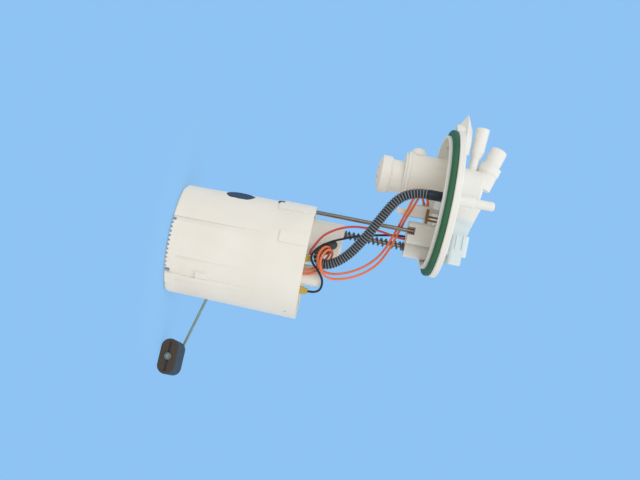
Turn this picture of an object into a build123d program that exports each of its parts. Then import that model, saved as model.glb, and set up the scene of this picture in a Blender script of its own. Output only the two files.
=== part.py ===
"""Fuel pump module: a tank flange on two guide rods over a reservoir that holds the pump.

Frame: millimetres, +Z up as installed. The origin is the centre of the flange's seat plane,
where the tank seal lies. The reservoir stands beside and below it, and its foot ring rests on
the tank floor. The reservoir slides up the rods against the main spring.
"""

import os
from math import cos, radians, sin, tan

from build123d import *

os.makedirs("parts", exist_ok=True)

# ---------------------------------------------------------------- driving dimensions
# General
running_fit = 0.1  # radial gap of a shaft or rod in its bore
part_gap = 0.3  # gap between curved faces of different pieces

# Flange and its seal
flange_r = 67.5
flange_t = 6.0
skirt_r = 61.3
skirt_wall = 2.4
skirt_depth = 7.8
seal_r = 67.0
seal_h = 5.0
seal_fit = 0.2
top_pocket_depth = 2.2
top_rib_t = 1.6
top_rib_count = 16
lug_r = 10.0
lug_reach = 73.5
lug_t = 9.0
key_reach = 84.5
key_half_w = 12.0
key_h = 6.6
key_taper = 42.0

# Supply stub that runs straight through the flange
supply_x, supply_y = -2.7, -40.0
supply_r = 3.945
supply_top = 39.5
supply_bore_r = 2.2
supply_base_r = 4.9
supply_base_top = 21.0
hose_boss_h = 6.0
barb_r = 3.1
barb_len = 9.0

# Vent valve under the flange, and the hub over it
valve_x, valve_y = -21.0, 4.0
valve_r = 19.4
valve_wall = 2.0
valve_depth = 37.5
valve_collar = 1.0
valve_collar_h = 3.5
port_r = 7.1
port_reach = 6.8
port_z = -28.5
low_x = -17.0
low_r = 14.8
low_wall = 2.0
low_depth = 12.5
cap_r = 17.2
cap_depth = 9.5
cap_dome = 4.0
vent_seat_r = 3.5
vent_float_travel = 3.0
hub_r = 15.5
hub_top = 23.0
vent_wire_r = 0.4

# Vapour elbow on the hub, and the level vapour stub below it
elbow_cap_h = 10.0
elbow_tilt = 16.9
elbow_len = 39.3
elbow_r = 7.75
elbow_root_r = 9.6
elbow_bore_r = 4.6
elbow_collar_r = 10.2
elbow_collar_from = 14.6
elbow_collar_to = 21.9
stub_tilt = 3.6
stub_root_z = 21.1
stub_r = 3.9
stub_end_r = 6.0
stub_bore_r = 2.6
stub_step = 31.5
stub_shoulder = 7.0
stub_len = 53.2

# Electrical socket on the flange
socket_y = -12.0
socket_w = 24.0
socket_h = 15.5
socket_z = 19.3
socket_back_x = 26.0
socket_open_x = 52.5
socket_latch_x = 44.5
socket_wall = 1.8
pin_w, pin_t = 2.8, 0.8
pin_len = 15.0
web_t = 2.2

# Guide rods and main spring
rod_r = 1.9
rod_front_y = 7.0
rod_rear_x, rod_rear_y = 44.5, 22.0
rod_top = -2.2
rod_front_end = -143.0
rod_rear_end = -150.0
rod_block_depth = 25.0
rod_boss_r = 9.3
rod_boss_depth = 24.0
slide_travel = 35.0
spring_r = 3.6
spring_wire_r = 0.7
spring_turns = 14

# Reservoir
res_x = 76.8
res_top = -110.3
res_floor_z = -215.0
res_r_top = 51.6
res_draft = 2.3
res_r_bottom = res_r_top - res_draft
res_wall = 2.0
front_lobe_r = res_r_top - 0.9
lobe_r = res_r_top - 0.7
# the front rod runs in a tunnel on the inside of the wall
tunnel_inset = 4.2
rod_front_x = res_x - res_r_top + tunnel_inset
base_bottom = -228.0
base_wall = 2.2
foot_band_top = -219.5
tooth_gap_w = 1.7
tooth_gap_h = 1.9
grommet_angle = 192.5
grommet_z = -179.0
grommet_r = 12.8
grommet_hole_r = 8.0
clip_angle = 193.0
clip_z = -141.8
clip_w, clip_h = 9.0, 6.0

# Carrier plate, tower and what stands on it
plate_top = -117.0
plate_t = 3.0
tower_top = -81.2
tower_r = 9.2
tower_end_x, tower_end_y = 60.0, 13.5
guide_r = 5.6
regulator_x, regulator_y = 87.2, 5.0
regulator_r = 9.5
regulator_top = -94.2

# Pump and filter
pump_x, pump_y = 84.8, -3.0
pump_r = 19.0
pump_wall = 1.2
pump_bottom = -203.5
pump_top = -131.0
shaft_r = 1.6
outlet_r = 4.6
valve_bore_r = 3.0
filter_r = 35.5
pump_clearance = 1.6
filter_bore_r = pump_r + pump_clearance
filter_bottom = -205.0
filter_wall = 1.8
strainer_h = 5.0
pleat_count = 24

# Level sender on the far side
pivot_x, pivot_z = 69.1, -184.5
sender_gap = 0.3
sender_back_y = res_r_top + sender_gap
sender_plate_t = 2.4
pivot_pin_r = 2.4
card_height = 19.0
card_seat_t = 0.4
card_t = 0.6
wiper_reach = 18.0
wiper_tilt = 30.0
arm_offset = 8.6
arm_y = sender_back_y + arm_offset
arm_r = 1.35
arm_corner_x, float_z = 197.0, -219.2
float_near_x, float_near_y = 186.2, 8.5
float_w, float_t = 33.0, 16.4
float_long = 42.0
float_slot_w = 2.1

# Hose and wires
hose_d, hose_bore = 9.0, 6.4
sender_wire_d = 2.4
pump_wire_d = 2.1


# ---------------------------------------------------------------- helpers
def section_at(x, y):
    """Upright plane through (x, y): local x is the distance along +X, local y is height."""
    return Plane(origin=(x, y, 0), x_dir=(1, 0, 0), z_dir=(0, -1, 0))


def upright(x, y):
    """Vertical axis through (x, y)."""
    return Axis((x, y, 0), (0, 0, 1))


def level(x, y, z):
    """Horizontal plane at a point."""
    return Plane(origin=(x, y, z))


def facing_y(x, y, z):
    """Plane at a point that faces +Y, with its local x along +X and local y along -Z."""
    return Plane(origin=(x, y, z), x_dir=(1, 0, 0), z_dir=(0, 1, 0))


def corner_radii(route):
    """The largest arc for each corner of a cord's route: 0.45 of the shorter run over tan(turn/2)."""
    points = [Vector(*point) for point in route]
    radii = []
    for before, corner, after in zip(points, points[1:], points[2:]):
        into, out = corner - before, after - corner
        turn = into.get_angle(out)
        radii.append(0.45 * min(into.length, out.length) / tan(radians(turn / 2)))
    return radii


def report_cord(label, route, diameter, part, length, section_area):
    """Print a cord's length and tightest arc, and its volume over section times length."""
    radii = corner_radii(route)
    print(label, "length %.1f mm," % length, "radii", " ".join("%.1f" % radius for radius in radii),
          "tightest %.1f diameters," % (min(radii) / diameter),
          "volume over section times length %.4f" % (part.volume / (section_area * length)))


# ---------------------------------------------------------------- flange
skirt_inner_r = skirt_r - skirt_wall
elbow_dx, elbow_dz = -cos(radians(elbow_tilt)), sin(radians(elbow_tilt))
stub_dx, stub_dz = -cos(radians(stub_tilt)), sin(radians(stub_tilt))
socket_floor_x = socket_back_x + 3.0

with BuildPart() as flange_cover:
    # disc with a rounded rim, and the skirt that drops into the tank opening
    with BuildSketch(section_at(0, 0)) as disc_profile:
        Polygon((0, 0), (flange_r, 0), (flange_r, flange_t), (0, flange_t), align=None)
        fillet(disc_profile.vertices().sort_by(Axis.X)[-2:], 1.2)
    revolve(axis=Axis.Z)
    with BuildSketch(Plane.XY):
        Circle(skirt_r)
        Circle(skirt_inner_r, mode=Mode.SUBTRACT)
    extrude(amount=-skirt_depth)
    # shallow pocket in the top, stiffened by radial ribs
    with BuildSketch(Plane.XY.offset(flange_t)):
        Circle(58.5)
        Circle(32, mode=Mode.SUBTRACT)
        with PolarLocations(0, top_rib_count):
            Rectangle(120, top_rib_t, align=(Align.MIN, Align.CENTER), mode=Mode.SUBTRACT)
    extrude(amount=-top_pocket_depth, mode=Mode.SUBTRACT)
    # ribs under the disc, inside the skirt
    with BuildSketch(Plane.XY):
        with PolarLocations(0, top_rib_count // 2, start_angle=22.5):
            with Locations((skirt_inner_r - 7.5, 0)):
                Rectangle(15.5, top_rib_t)
    extrude(amount=-3.0)
    # rim lug with the pointed key on top, which sets the flange's turn in the tank
    with BuildSketch(Plane.XY):
        with Locations((-(lug_reach - lug_r), 0)):
            Circle(lug_r)
        with Locations((-58, 0)):
            Rectangle(16, 2 * lug_r)
    extrude(amount=lug_t)
    with BuildSketch(Plane.XY.offset(lug_t)):
        Polygon((-47, -key_half_w), (-66, -key_half_w), (-key_reach, 0), (-66, key_half_w),
                (-47, key_half_w), align=None)
    extrude(amount=key_h, taper=key_taper)
    # hub over the vent valve
    with BuildSketch(level(valve_x, valve_y, flange_t - 3)):
        Circle(hub_r)
    extrude(amount=hub_top - flange_t + 3)
    # level vapour stub from the hub, with its larger end
    with BuildSketch(Plane(origin=(valve_x - 6, 2, stub_root_z), z_dir=(stub_dx, 0, stub_dz))):
        Circle(stub_r)
    extrude(amount=stub_len - 6)
    for along, radius in ((stub_step - stub_shoulder, stub_r), (stub_step, stub_end_r)):
        with BuildSketch(Plane(origin=(valve_x + along * stub_dx, 2, stub_root_z + along * stub_dz),
                               z_dir=(stub_dx, 0, stub_dz))):
            Circle(radius)
    loft()
    with BuildSketch(Plane(origin=(valve_x + stub_step * stub_dx, 2, stub_root_z + stub_step * stub_dz),
                           z_dir=(stub_dx, 0, stub_dz))):
        Circle(stub_end_r)
    extrude(amount=stub_len - stub_step)
    # supply stub: base, quick-connect end, boss and barbed end for the hose
    with BuildSketch(section_at(supply_x, supply_y)):
        Polygon((0, -hose_boss_h - barb_len), (barb_r - 0.5, -hose_boss_h - barb_len),
                (barb_r, -hose_boss_h - barb_len + 1.2), (barb_r, -hose_boss_h), (4.7, -hose_boss_h),
                (4.7, 1), (supply_base_r, 1), (supply_base_r, supply_base_top),
                (supply_r, supply_base_top + 1.2), (supply_r, supply_top - 1),
                (supply_r - 0.8, supply_top), (0, supply_top), align=None)
    revolve(axis=upright(supply_x, supply_y))
    # web between the hub and the electrical socket
    with BuildSketch(section_at(0, -2)):
        Polygon((-6.5, flange_t - 3), (24, flange_t - 3), (24, 27.5), (-5.5, 36.3), align=None)
    extrude(amount=web_t)
    # electrical socket: pedestal and shell
    with BuildSketch(section_at(0, socket_y - 9)):
        Polygon((10, flange_t - 3), (46, flange_t - 3), (44, 14), (30, 24), (20, 26), (12, 9), align=None)
    extrude(amount=-18)
    with BuildSketch(Plane(origin=(socket_back_x, socket_y, socket_z), x_dir=(0, 1, 0), z_dir=(1, 0, 0))):
        RectangleRounded(socket_w, socket_h, 3.2)
    extrude(amount=socket_open_x - socket_back_x)
    with BuildSketch(Plane(origin=(socket_latch_x, socket_y, socket_z), x_dir=(0, 1, 0), z_dir=(1, 0, 0))):
        with Locations((0, socket_h / 2)):
            Rectangle(socket_w + 2, 8)
    extrude(amount=socket_open_x - socket_latch_x + 1, mode=Mode.SUBTRACT)
    with BuildSketch(Plane(origin=(socket_floor_x, socket_y, socket_z), x_dir=(0, 1, 0), z_dir=(1, 0, 0))):
        RectangleRounded(socket_w - 2 * socket_wall, socket_h - 2 * socket_wall, 2.0)
    extrude(amount=40, mode=Mode.SUBTRACT)
    # ribs on the outside of the socket's sides
    with BuildSketch(Plane(origin=(socket_back_x, socket_y, socket_z), x_dir=(0, 1, 0), z_dir=(1, 0, 0))):
        with GridLocations(socket_w + 0.8, 6, 2, 2):
            Rectangle(1.6, 1.4)
    extrude(amount=12)
    # block under the flange that holds both rods
    with BuildSketch(Plane.XY):
        with Locations(((20.6 + 41) / 2, 10.5)):
            RectangleRounded(41 - 20.6, 27, 3)
    extrude(amount=-rod_block_depth)
    with BuildSketch(level(rod_rear_x, rod_rear_y, 0)):
        Circle(rod_boss_r)
    extrude(amount=-rod_boss_depth)
    # open front of the block, where the front rod shows
    with BuildSketch(section_at(rod_front_x, -4)):
        with Locations((0, -rod_block_depth)):
            Rectangle(7, 12.4)
    extrude(amount=-11 - rod_r - 1, mode=Mode.SUBTRACT)
    with BuildSketch(level(rod_front_x, rod_front_y, -rod_block_depth)):
        Circle(rod_r + running_fit)
    extrude(amount=rod_block_depth + rod_top + 0.1, mode=Mode.SUBTRACT)
    with BuildSketch(level(rod_rear_x, rod_rear_y, -rod_boss_depth)):
        Circle(rod_r + running_fit)
    extrude(amount=rod_boss_depth + rod_top + 0.1, mode=Mode.SUBTRACT)
    # bores of the supply stub and the vapour stub
    with BuildSketch(level(supply_x, supply_y, -hose_boss_h - barb_len)):
        Circle(supply_bore_r)
    extrude(amount=supply_top + hose_boss_h + barb_len, mode=Mode.SUBTRACT)
    with BuildSketch(Plane(origin=(valve_x + stub_len * stub_dx, 2, stub_root_z + stub_len * stub_dz),
                           z_dir=(stub_dx, 0, stub_dz))):
        Circle(stub_bore_r)
    extrude(amount=-(stub_len - 10), mode=Mode.SUBTRACT)
flange_cover.part.label = "flange_cover"
export_step(flange_cover.part, "parts/flange_cover.step")

with BuildPart() as tank_seal:
    with BuildSketch(section_at(0, 0)) as seal_profile:
        Polygon((skirt_r + seal_fit, -seal_h), (seal_r, -seal_h), (seal_r, 0), (skirt_r + seal_fit, 0),
                align=None)
        fillet(seal_profile.vertices().sort_by(Axis.X)[-2:], 2.0)
    revolve(axis=Axis.Z)
tank_seal.part.label = "tank_seal"
export_step(tank_seal.part, "parts/tank_seal.step")

with BuildPart() as vapour_elbow:
    with BuildSketch(level(valve_x, valve_y, hub_top)):
        Circle(hub_r - 0.4)
    extrude(amount=elbow_cap_h)
    fillet(vapour_elbow.edges().group_by(Axis.Z)[-1], 2.5)
    root = (valve_x, valve_y, hub_top + 8.7)
    with BuildSketch(Plane(origin=root, z_dir=(elbow_dx, 0, elbow_dz))):
        Circle(elbow_root_r)
    extrude(amount=elbow_collar_from + 1)
    with BuildSketch(Plane(origin=root, z_dir=(elbow_dx, 0, elbow_dz)).offset(elbow_collar_from)):
        Circle(elbow_collar_r)
    extrude(amount=elbow_collar_to - elbow_collar_from)
    with BuildSketch(Plane(origin=root, z_dir=(elbow_dx, 0, elbow_dz)).offset(elbow_collar_to)):
        Circle(elbow_r)
    extrude(amount=elbow_len - elbow_collar_to)
    fillet(vapour_elbow.faces().sort_by(Axis.X)[0].edges(), 3.0)
    with BuildSketch(Plane(origin=root, z_dir=(elbow_dx, 0, elbow_dz)).offset(elbow_len)):
        Circle(elbow_bore_r)
    extrude(amount=-elbow_len + 4, mode=Mode.SUBTRACT)
    # relief over the hub, and over the level stub that passes below
    with BuildSketch(level(valve_x, valve_y, 0)):
        Circle(hub_r + part_gap)
    extrude(amount=hub_top, mode=Mode.SUBTRACT)
    with BuildSketch(Plane(origin=(valve_x - 6, 2, stub_root_z), z_dir=(stub_dx, 0, stub_dz))):
        Circle(stub_r + part_gap)
    extrude(amount=26, mode=Mode.SUBTRACT)
vapour_elbow.part.label = "vapour_elbow"
export_step(vapour_elbow.part, "parts/vapour_elbow.step")

with BuildPart() as connector_pins:
    with BuildSketch(Plane(origin=(socket_floor_x, socket_y, socket_z), x_dir=(0, 1, 0), z_dir=(1, 0, 0))):
        with GridLocations(5.0, 1, 4, 1):
            Rectangle(pin_w, pin_t)
    extrude(amount=pin_len)
connector_pins.part.label = "connector_pins"
export_step(connector_pins.part, "parts/connector_pins.step")

# ---------------------------------------------------------------- vent valve
valve_bottom = -valve_depth
low_bottom = valve_bottom - low_depth
cap_bottom = low_bottom - cap_depth
float_r = low_r - low_wall - 0.4
float_top = valve_bottom - 3.5 - vent_float_travel - 1.0
float_bottom = float_top - 13.0

with BuildPart() as vent_valve_housing:
    with BuildSketch(section_at(valve_x, valve_y)):
        Polygon((0, -valve_wall), (0, 0), (valve_r, 0), (valve_r, valve_bottom + valve_collar_h),
                (valve_r + valve_collar, valve_bottom + valve_collar_h - 1),
                (valve_r + valve_collar, valve_bottom), (valve_r - valve_wall, valve_bottom),
                (valve_r - valve_wall, -valve_wall), align=None)
    revolve(axis=upright(valve_x, valve_y))
    # closed side port with a rounded end
    with BuildSketch(Plane(origin=(valve_x - valve_r + 1.0, valve_y, port_z), z_dir=(-1, 0, 0))):
        Circle(port_r)
    extrude(amount=port_reach)
    fillet(vent_valve_housing.faces().sort_by(Axis.X)[0].edges(), port_reach - 0.3)
    with BuildSketch(level(valve_x, valve_y, -valve_wall)):
        Circle(valve_r - valve_wall)
    extrude(amount=-valve_depth, mode=Mode.SUBTRACT)
vent_valve_housing.part.label = "vent_valve_housing"
export_step(vent_valve_housing.part, "parts/vent_valve_housing.step")

with BuildPart() as vent_valve_body:
    # cover disc that closes the housing, the seat for the float, and the guide sleeve
    with BuildSketch(level(valve_x, valve_y, valve_bottom)):
        Circle(valve_r - 0.4)
    extrude(amount=-2.0)
    with BuildSketch(level(low_x, valve_y, valve_bottom)):
        Circle(low_r)
    extrude(amount=-low_depth)
    with BuildSketch(level(low_x, valve_y, valve_bottom - 2.5)):
        Circle(low_r - low_wall)
    extrude(amount=-low_depth, mode=Mode.SUBTRACT)
    with BuildSketch(level(low_x, valve_y, valve_bottom)):
        Circle(vent_seat_r)
    extrude(amount=-4, mode=Mode.SUBTRACT)
    with BuildSketch(section_at(low_x, valve_y)):
        Polygon((vent_seat_r, valve_bottom - 2.5), (vent_seat_r + 1.2, valve_bottom - 2.5),
                (vent_seat_r + 0.2, valve_bottom - 3.5), (vent_seat_r, valve_bottom - 3.5), align=None)
    revolve(axis=upright(low_x, valve_y))
vent_valve_body.part.label = "vent_valve_body"
export_step(vent_valve_body.part, "parts/vent_valve_body.step")

with BuildPart() as vent_valve_cap:
    with BuildSketch(section_at(low_x, valve_y)):
        with BuildLine():
            Polyline((0, cap_bottom - cap_dome + 1.6), (0, cap_bottom - cap_dome))
            ThreePointArc((0, cap_bottom - cap_dome), (cap_r * 0.55, cap_bottom - cap_dome * 0.72),
                          (cap_r, cap_bottom))
            Polyline((cap_r, cap_bottom), (cap_r - 0.2, low_bottom - 2), (low_r + 0.2, low_bottom),
                     (low_r - low_wall, low_bottom), (low_r - low_wall, cap_bottom + 1.0),
                     (0, cap_bottom - cap_dome + 1.6))
        make_face()
    revolve(axis=upright(low_x, valve_y))
    # inlet holes round the float chamber
    with BuildSketch(level(low_x, valve_y, cap_bottom - cap_dome)):
        with PolarLocations(8.2, 6):
            Circle(1.6)
    extrude(amount=cap_dome + 2, mode=Mode.SUBTRACT)
vent_valve_cap.part.label = "vent_valve_cap"
export_step(vent_valve_cap.part, "parts/vent_valve_cap.step")

spring_pocket_r = 3.4
with BuildPart() as vent_valve_float:
    with BuildSketch(section_at(low_x, valve_y)):
        Polygon((spring_pocket_r, float_bottom), (float_r, float_bottom), (float_r, float_top - 2),
                (float_r - 3, float_top), (0, float_top), (0, float_bottom + 9),
                (spring_pocket_r, float_bottom + 9), align=None)
    revolve(axis=upright(low_x, valve_y))
vent_valve_float.part.label = "vent_valve_float"
export_step(vent_valve_float.part, "parts/vent_valve_float.step")

with BuildPart() as vent_valve_pad:
    with BuildSketch(level(low_x, valve_y, float_top)):
        Circle(vent_seat_r + 2)
    extrude(amount=1.0)
vent_valve_pad.part.label = "vent_valve_pad"
export_step(vent_valve_pad.part, "parts/vent_valve_pad.step")


def coil_spring(label, base, height, turns, radius, wire_r):
    """Make and write a compression spring that stands on a point of its axis."""
    with BuildPart() as spring:
        with BuildLine() as wire:
            Helix(pitch=(height - 2 * wire_r) / turns, height=height - 2 * wire_r, radius=radius,
                  center=(base[0], base[1], base[2] + wire_r))
        with BuildSketch(Plane(origin=wire.line @ 0, z_dir=wire.line % 0)):
            RegularPolygon(wire_r, 6)
        sweep(path=wire.line, is_frenet=True)
    spring.part.label = label
    export_step(spring.part, "parts/%s.step" % label)


cap_floor_z = cap_bottom - cap_dome + 1.6
coil_spring("vent_valve_spring", (low_x, valve_y, cap_floor_z + 1.1), float_bottom + 9 - cap_floor_z - 1.15,
            5, 2.4, vent_wire_r)

# ---------------------------------------------------------------- rods and main spring
with BuildPart() as guide_rod_front:
    with BuildSketch(level(rod_front_x, rod_front_y, rod_top)):
        Circle(rod_r)
    extrude(amount=rod_front_end - rod_top)
    chamfer(guide_rod_front.edges().group_by(Axis.Z)[0], 0.5)
guide_rod_front.part.label = "guide_rod_front"
export_step(guide_rod_front.part, "parts/guide_rod_front.step")

groove_z = rod_rear_end + 3.0
clip_t = 0.9
with BuildPart() as guide_rod_rear:
    with BuildSketch(section_at(rod_rear_x, rod_rear_y)):
        Polygon((0, rod_rear_end), (rod_r - 0.5, rod_rear_end), (rod_r, rod_rear_end + 0.5),
                (rod_r, groove_z), (rod_r - 0.5, groove_z), (rod_r - 0.5, groove_z + clip_t + 0.1),
                (rod_r, groove_z + clip_t + 0.1), (rod_r, rod_top), (0, rod_top), align=None)
    revolve(axis=upright(rod_rear_x, rod_rear_y))
guide_rod_rear.part.label = "guide_rod_rear"
export_step(guide_rod_rear.part, "parts/guide_rod_rear.step")

with BuildPart() as rod_clip:
    with BuildSketch(level(rod_rear_x, rod_rear_y, groove_z + 0.05)):
        Circle(rod_r + 1.9)
        Circle(rod_r - 0.45, mode=Mode.SUBTRACT)
        with Locations((3, 0)):
            Rectangle(6, 1.6, mode=Mode.SUBTRACT)
    extrude(amount=clip_t)
rod_clip.part.label = "rod_clip"
export_step(rod_clip.part, "parts/rod_clip.step")

coil_spring("main_spring", (rod_rear_x, rod_rear_y, tower_top + 0.05), -rod_boss_depth - tower_top - 0.1,
            spring_turns, spring_r, spring_wire_r)

# ---------------------------------------------------------------- sender plug under the flange
plug_x, plug_y, plug_top = 4.7, 2.5, -8.5
sender_route_a = [
    (3.2, 4.9, -11.2), (0.4, -1.2, -12.6), (-3.6, -9.6, -15.9), (-4.4, -16.6, -20.0),
    (0.2, -19.6, -23.4), (7.0, -15.0, -25.2), (14.2, -5.6, -27.3), (20.8, 4.3, -29.3),
    (28.4, 12.2, -30.9), (40.5, 12.4, -34.5), (52.5, 10.5, -38.8), (64.5, 7.0, -45.0),
    (74.5, 3.0, -54.9), (81.6, -2.0, -66.9), (85.4, -9.0, -78.8), (85.8, -18.0, -88.6),
    (80.4, -26.4, -95.4), (71.9, -30.4, -98.0), (64.4, -28.6, -96.2), (60.0, -22.2, -92.3),
    (61.9, -14.0, -88.3), (67.6, -9.5, -88.3), (74.0, -7.9, -92.3), (79.6, -7.5, -97.6),
    (84.2, -8.0, -102.4), (86.4, -8.6, -107.4), (86.4, -8.6, -112.5)]
sender_route_b = [
    (3.2, 4.9, -15.2), (0.6, -1.4, -16.8), (-2.4, -9.6, -20.0), (-2.2, -16.4, -24.4),
    (2.8, -18.2, -28.0), (9.0, -12.4, -29.0), (15.4, -3.2, -30.6), (22.0, 6.0, -32.2),
    (29.6, 13.0, -33.9), (40.5, 12.6, -37.9), (51.6, 10.5, -42.0), (61.7, 7.0, -48.7),
    (70.8, 3.0, -58.5), (77.5, -2.0, -70.1), (81.3, -8.0, -81.5), (81.6, -16.4, -91.4),
    (76.9, -23.0, -98.5), (69.2, -26.3, -100.8), (62.7, -25.7, -99.3), (58.0, -21.5, -95.4),
    (58.8, -15.6, -91.4), (64.7, -11.0, -90.7), (71.0, -8.8, -93.7), (76.6, -8.7, -98.6),
    (80.9, -9.2, -103.2), (82.9, -9.4, -107.8), (82.9, -9.4, -112.5)]
with BuildPart() as sender_plug:
    with BuildSketch(level(plug_x + 6, plug_y + 4.5, plug_top)):
        RectangleRounded(12, 9, 1.2)
    extrude(amount=-20.5)
    with BuildSketch(level(plug_x + 8.3, plug_y + 4.5, plug_top - 20.5)):
        RectangleRounded(5.6, 5, 0.8)
    extrude(amount=-9)
    chamfer(sender_plug.edges().group_by(Axis.Z)[0], 0.8)
    # sleeves where the two wires leave
    for sleeve_start, sleeve_next in ((sender_route_a[0], sender_route_a[1]),
                                      (sender_route_b[0], sender_route_b[1])):
        sleeve_axis = (Vector(*sleeve_next) - Vector(*sleeve_start)).normalized()
        with BuildSketch(Plane(origin=sleeve_start, z_dir=sleeve_axis)):
            Circle(sender_wire_d / 2 + 0.6)
        extrude(amount=-4.5)
    # latch post up to the flange
    with BuildSketch(level(plug_x + 3, plug_y + 6, 0)):
        Rectangle(4, 3)
    extrude(amount=plug_top)
sender_plug.part.label = "sender_plug"
export_step(sender_plug.part, "parts/sender_plug.step")

with BuildPart() as plug_terminals:
    for post_x, bar_from, bar_to in ((13.8, 7.4, 14.7), (17.2, 15.5, 20.3)):
        with BuildSketch(level(post_x, plug_y - 1.3, 0)):
            Circle(0.9)
        extrude(amount=-9.6)
        with BuildSketch(level((bar_from + bar_to) / 2, plug_y - 1.3, -9.5)):
            RectangleRounded(bar_to - bar_from, 2.6, 0.6)
        extrude(amount=-2.3)
plug_terminals.part.label = "plug_terminals"
export_step(plug_terminals.part, "parts/plug_terminals.step")

# ---------------------------------------------------------------- reservoir shell
res_slope = (res_r_top - res_r_bottom) / (res_top - res_floor_z)


def res_r_at(z):
    """Outer radius of the tapered wall at a height."""
    return res_r_bottom + res_slope * (z - res_floor_z)


def radial_plane(angle, radius, z):
    """Plane facing outwards at an angle round the reservoir: local y is up."""
    out = (cos(radians(angle)), sin(radians(angle)), 0)
    side = (-out[1], out[0], 0)
    return Plane(origin=(res_x + radius * out[0], radius * out[1], z), x_dir=side, z_dir=out)


def wall_section(angle):
    """Upright half plane through the reservoir's axis at an angle: local x is radius, local y height."""
    out = (cos(radians(angle)), sin(radians(angle)), 0)
    return Plane(origin=(res_x, 0, 0), x_dir=out, z_dir=(out[1], -out[0], 0))


# outer lobes: from angle, to angle, radius; the front of the module is at 270 degrees
lobes = ((251.0, 285.5, front_lobe_r), (306, 311, lobe_r), (207, 246.5, lobe_r), (15, 58, lobe_r),
         (120, 164, lobe_r))
strips = ((241, 252.5, -137.0, res_top, res_r_top + 0.5), (184, 212, -143.5, res_top, res_r_top + 0.6))
tunnel_r = 3.7
tunnel_end = rod_front_end - slide_travel - 9.0
guide_len = 28.0
sender_pad_w, sender_pad_h = 31.0, 64.0
sender_mid_x, sender_mid_z = 70.6, -165.0
sender_pad_y = res_r_top - 5.6
floor_hole_r = 12.0
grommet_seat = res_r_top - 3.2
grommet_boss = res_r_top - 6.0
cavity_floor = res_floor_z + res_wall

with BuildPart() as reservoir_shell:
    # tapered wall
    with BuildSketch(section_at(res_x, 0)):
        Polygon((0, res_floor_z), (res_r_bottom, res_floor_z), (res_r_top, res_top), (0, res_top),
                align=None)
    revolve(axis=upright(res_x, 0))
    # lobes of one radius, which stand proud as the wall tapers away from them and fade into it
    for start, end, radius in lobes:
        fade_z = res_floor_z + (radius - res_r_bottom) / res_slope
        with BuildSketch(wall_section(start)):
            Polygon((res_r_bottom - 1.5, res_floor_z), (radius, res_floor_z), (radius, fade_z + 3),
                    (res_r_bottom - 1.5, fade_z + 3), align=None)
        revolve(axis=upright(res_x, 0), revolution_arc=end - start)
    for start, end, bottom, top, radius in strips:
        with BuildSketch(wall_section(start)):
            Polygon((res_r_top - 2, bottom), (res_r_at(bottom), bottom), (radius, bottom + 1.5),
                    (radius, top), (res_r_top - 2, top), align=None)
        revolve(axis=upright(res_x, 0), revolution_arc=end - start)
    # flat pad for the level sender on the far side
    with BuildSketch(level(sender_mid_x, sender_pad_y, sender_mid_z - sender_pad_h / 2)):
        Rectangle(sender_pad_w, 2 * (sender_back_y - sender_pad_y))
    extrude(amount=sender_pad_h)
    # outside of the front rod's tunnel
    with BuildSketch(level(rod_front_x, rod_front_y, res_top)):
        Circle(tunnel_r)
    extrude(amount=tunnel_end - res_top)
    # inside
    with BuildSketch(section_at(res_x, 0)):
        Polygon((0, cavity_floor), (res_r_bottom - res_wall, cavity_floor), (res_r_top - res_wall, res_top),
                (0, res_top), align=None)
    revolve(axis=upright(res_x, 0), mode=Mode.SUBTRACT)
    with BuildSketch(level(pump_x, pump_y, res_floor_z)):
        Circle(floor_hole_r)
    extrude(amount=res_wall, mode=Mode.SUBTRACT)
    # tunnel inside the wall, tight at its guide and free below it
    with BuildSketch(level(rod_front_x, rod_front_y, res_top)):
        Circle(tunnel_r)
    extrude(amount=tunnel_end - res_top)
    with BuildSketch(level(rod_front_x, rod_front_y, res_top)):
        Circle(rod_r + running_fit)
    extrude(amount=-guide_len, mode=Mode.SUBTRACT)
    with BuildSketch(level(rod_front_x, rod_front_y, res_top - guide_len)):
        Circle(rod_r + 0.6)
    extrude(amount=tunnel_end + 1.2 - res_top + guide_len, mode=Mode.SUBTRACT)
    # flat seat and hole for the side grommet, with a boss behind it
    with BuildSketch(radial_plane(grommet_angle, grommet_boss, grommet_z)):
        Circle(grommet_r + 0.3)
    extrude(amount=grommet_seat - grommet_boss)
    with BuildSketch(radial_plane(grommet_angle, grommet_seat, grommet_z)):
        Circle(grommet_r + 0.3)
    extrude(amount=8, mode=Mode.SUBTRACT)
    with BuildSketch(radial_plane(grommet_angle, grommet_boss, grommet_z)):
        Circle(grommet_hole_r)
    extrude(amount=8, mode=Mode.SUBTRACT)
    # window of the carrier's latch
    with BuildSketch(radial_plane(clip_angle, res_r_top - 7.6, clip_z)):
        Rectangle(clip_w, clip_h)
    extrude(amount=12, mode=Mode.SUBTRACT)
    # snap recess under a ledge, low on the front
    with BuildSketch(radial_plane(303.5, res_r_bottom - 0.1, -207.5)):
        Rectangle(6.4, 13)
    extrude(amount=4, mode=Mode.SUBTRACT)
    with BuildSketch(radial_plane(302.0, res_r_bottom - 2.8, -196)):
        Rectangle(6.0, 9.5)
    extrude(amount=4.6)
    # vent hole under the rim
    with BuildSketch(radial_plane(329.8, res_r_top - 7.6, -119.7)):
        Circle(1.1)
    extrude(amount=12, mode=Mode.SUBTRACT)
reservoir_shell.part.label = "reservoir_shell"
export_step(reservoir_shell.part, "parts/reservoir_shell.step")

# ---------------------------------------------------------------- foot ring and foot valve
base_plate_t = 2.0
foot_valve_r = 7.6
# bands round the foot: from angle, to angle, radius
foot_bands = ((251.0, 300.5, front_lobe_r), (306, 335, lobe_r), (207, 246.5, lobe_r), (15, 58, lobe_r),
              (120, 164, lobe_r))
tooth_arcs = (254, 14, 134)
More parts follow.
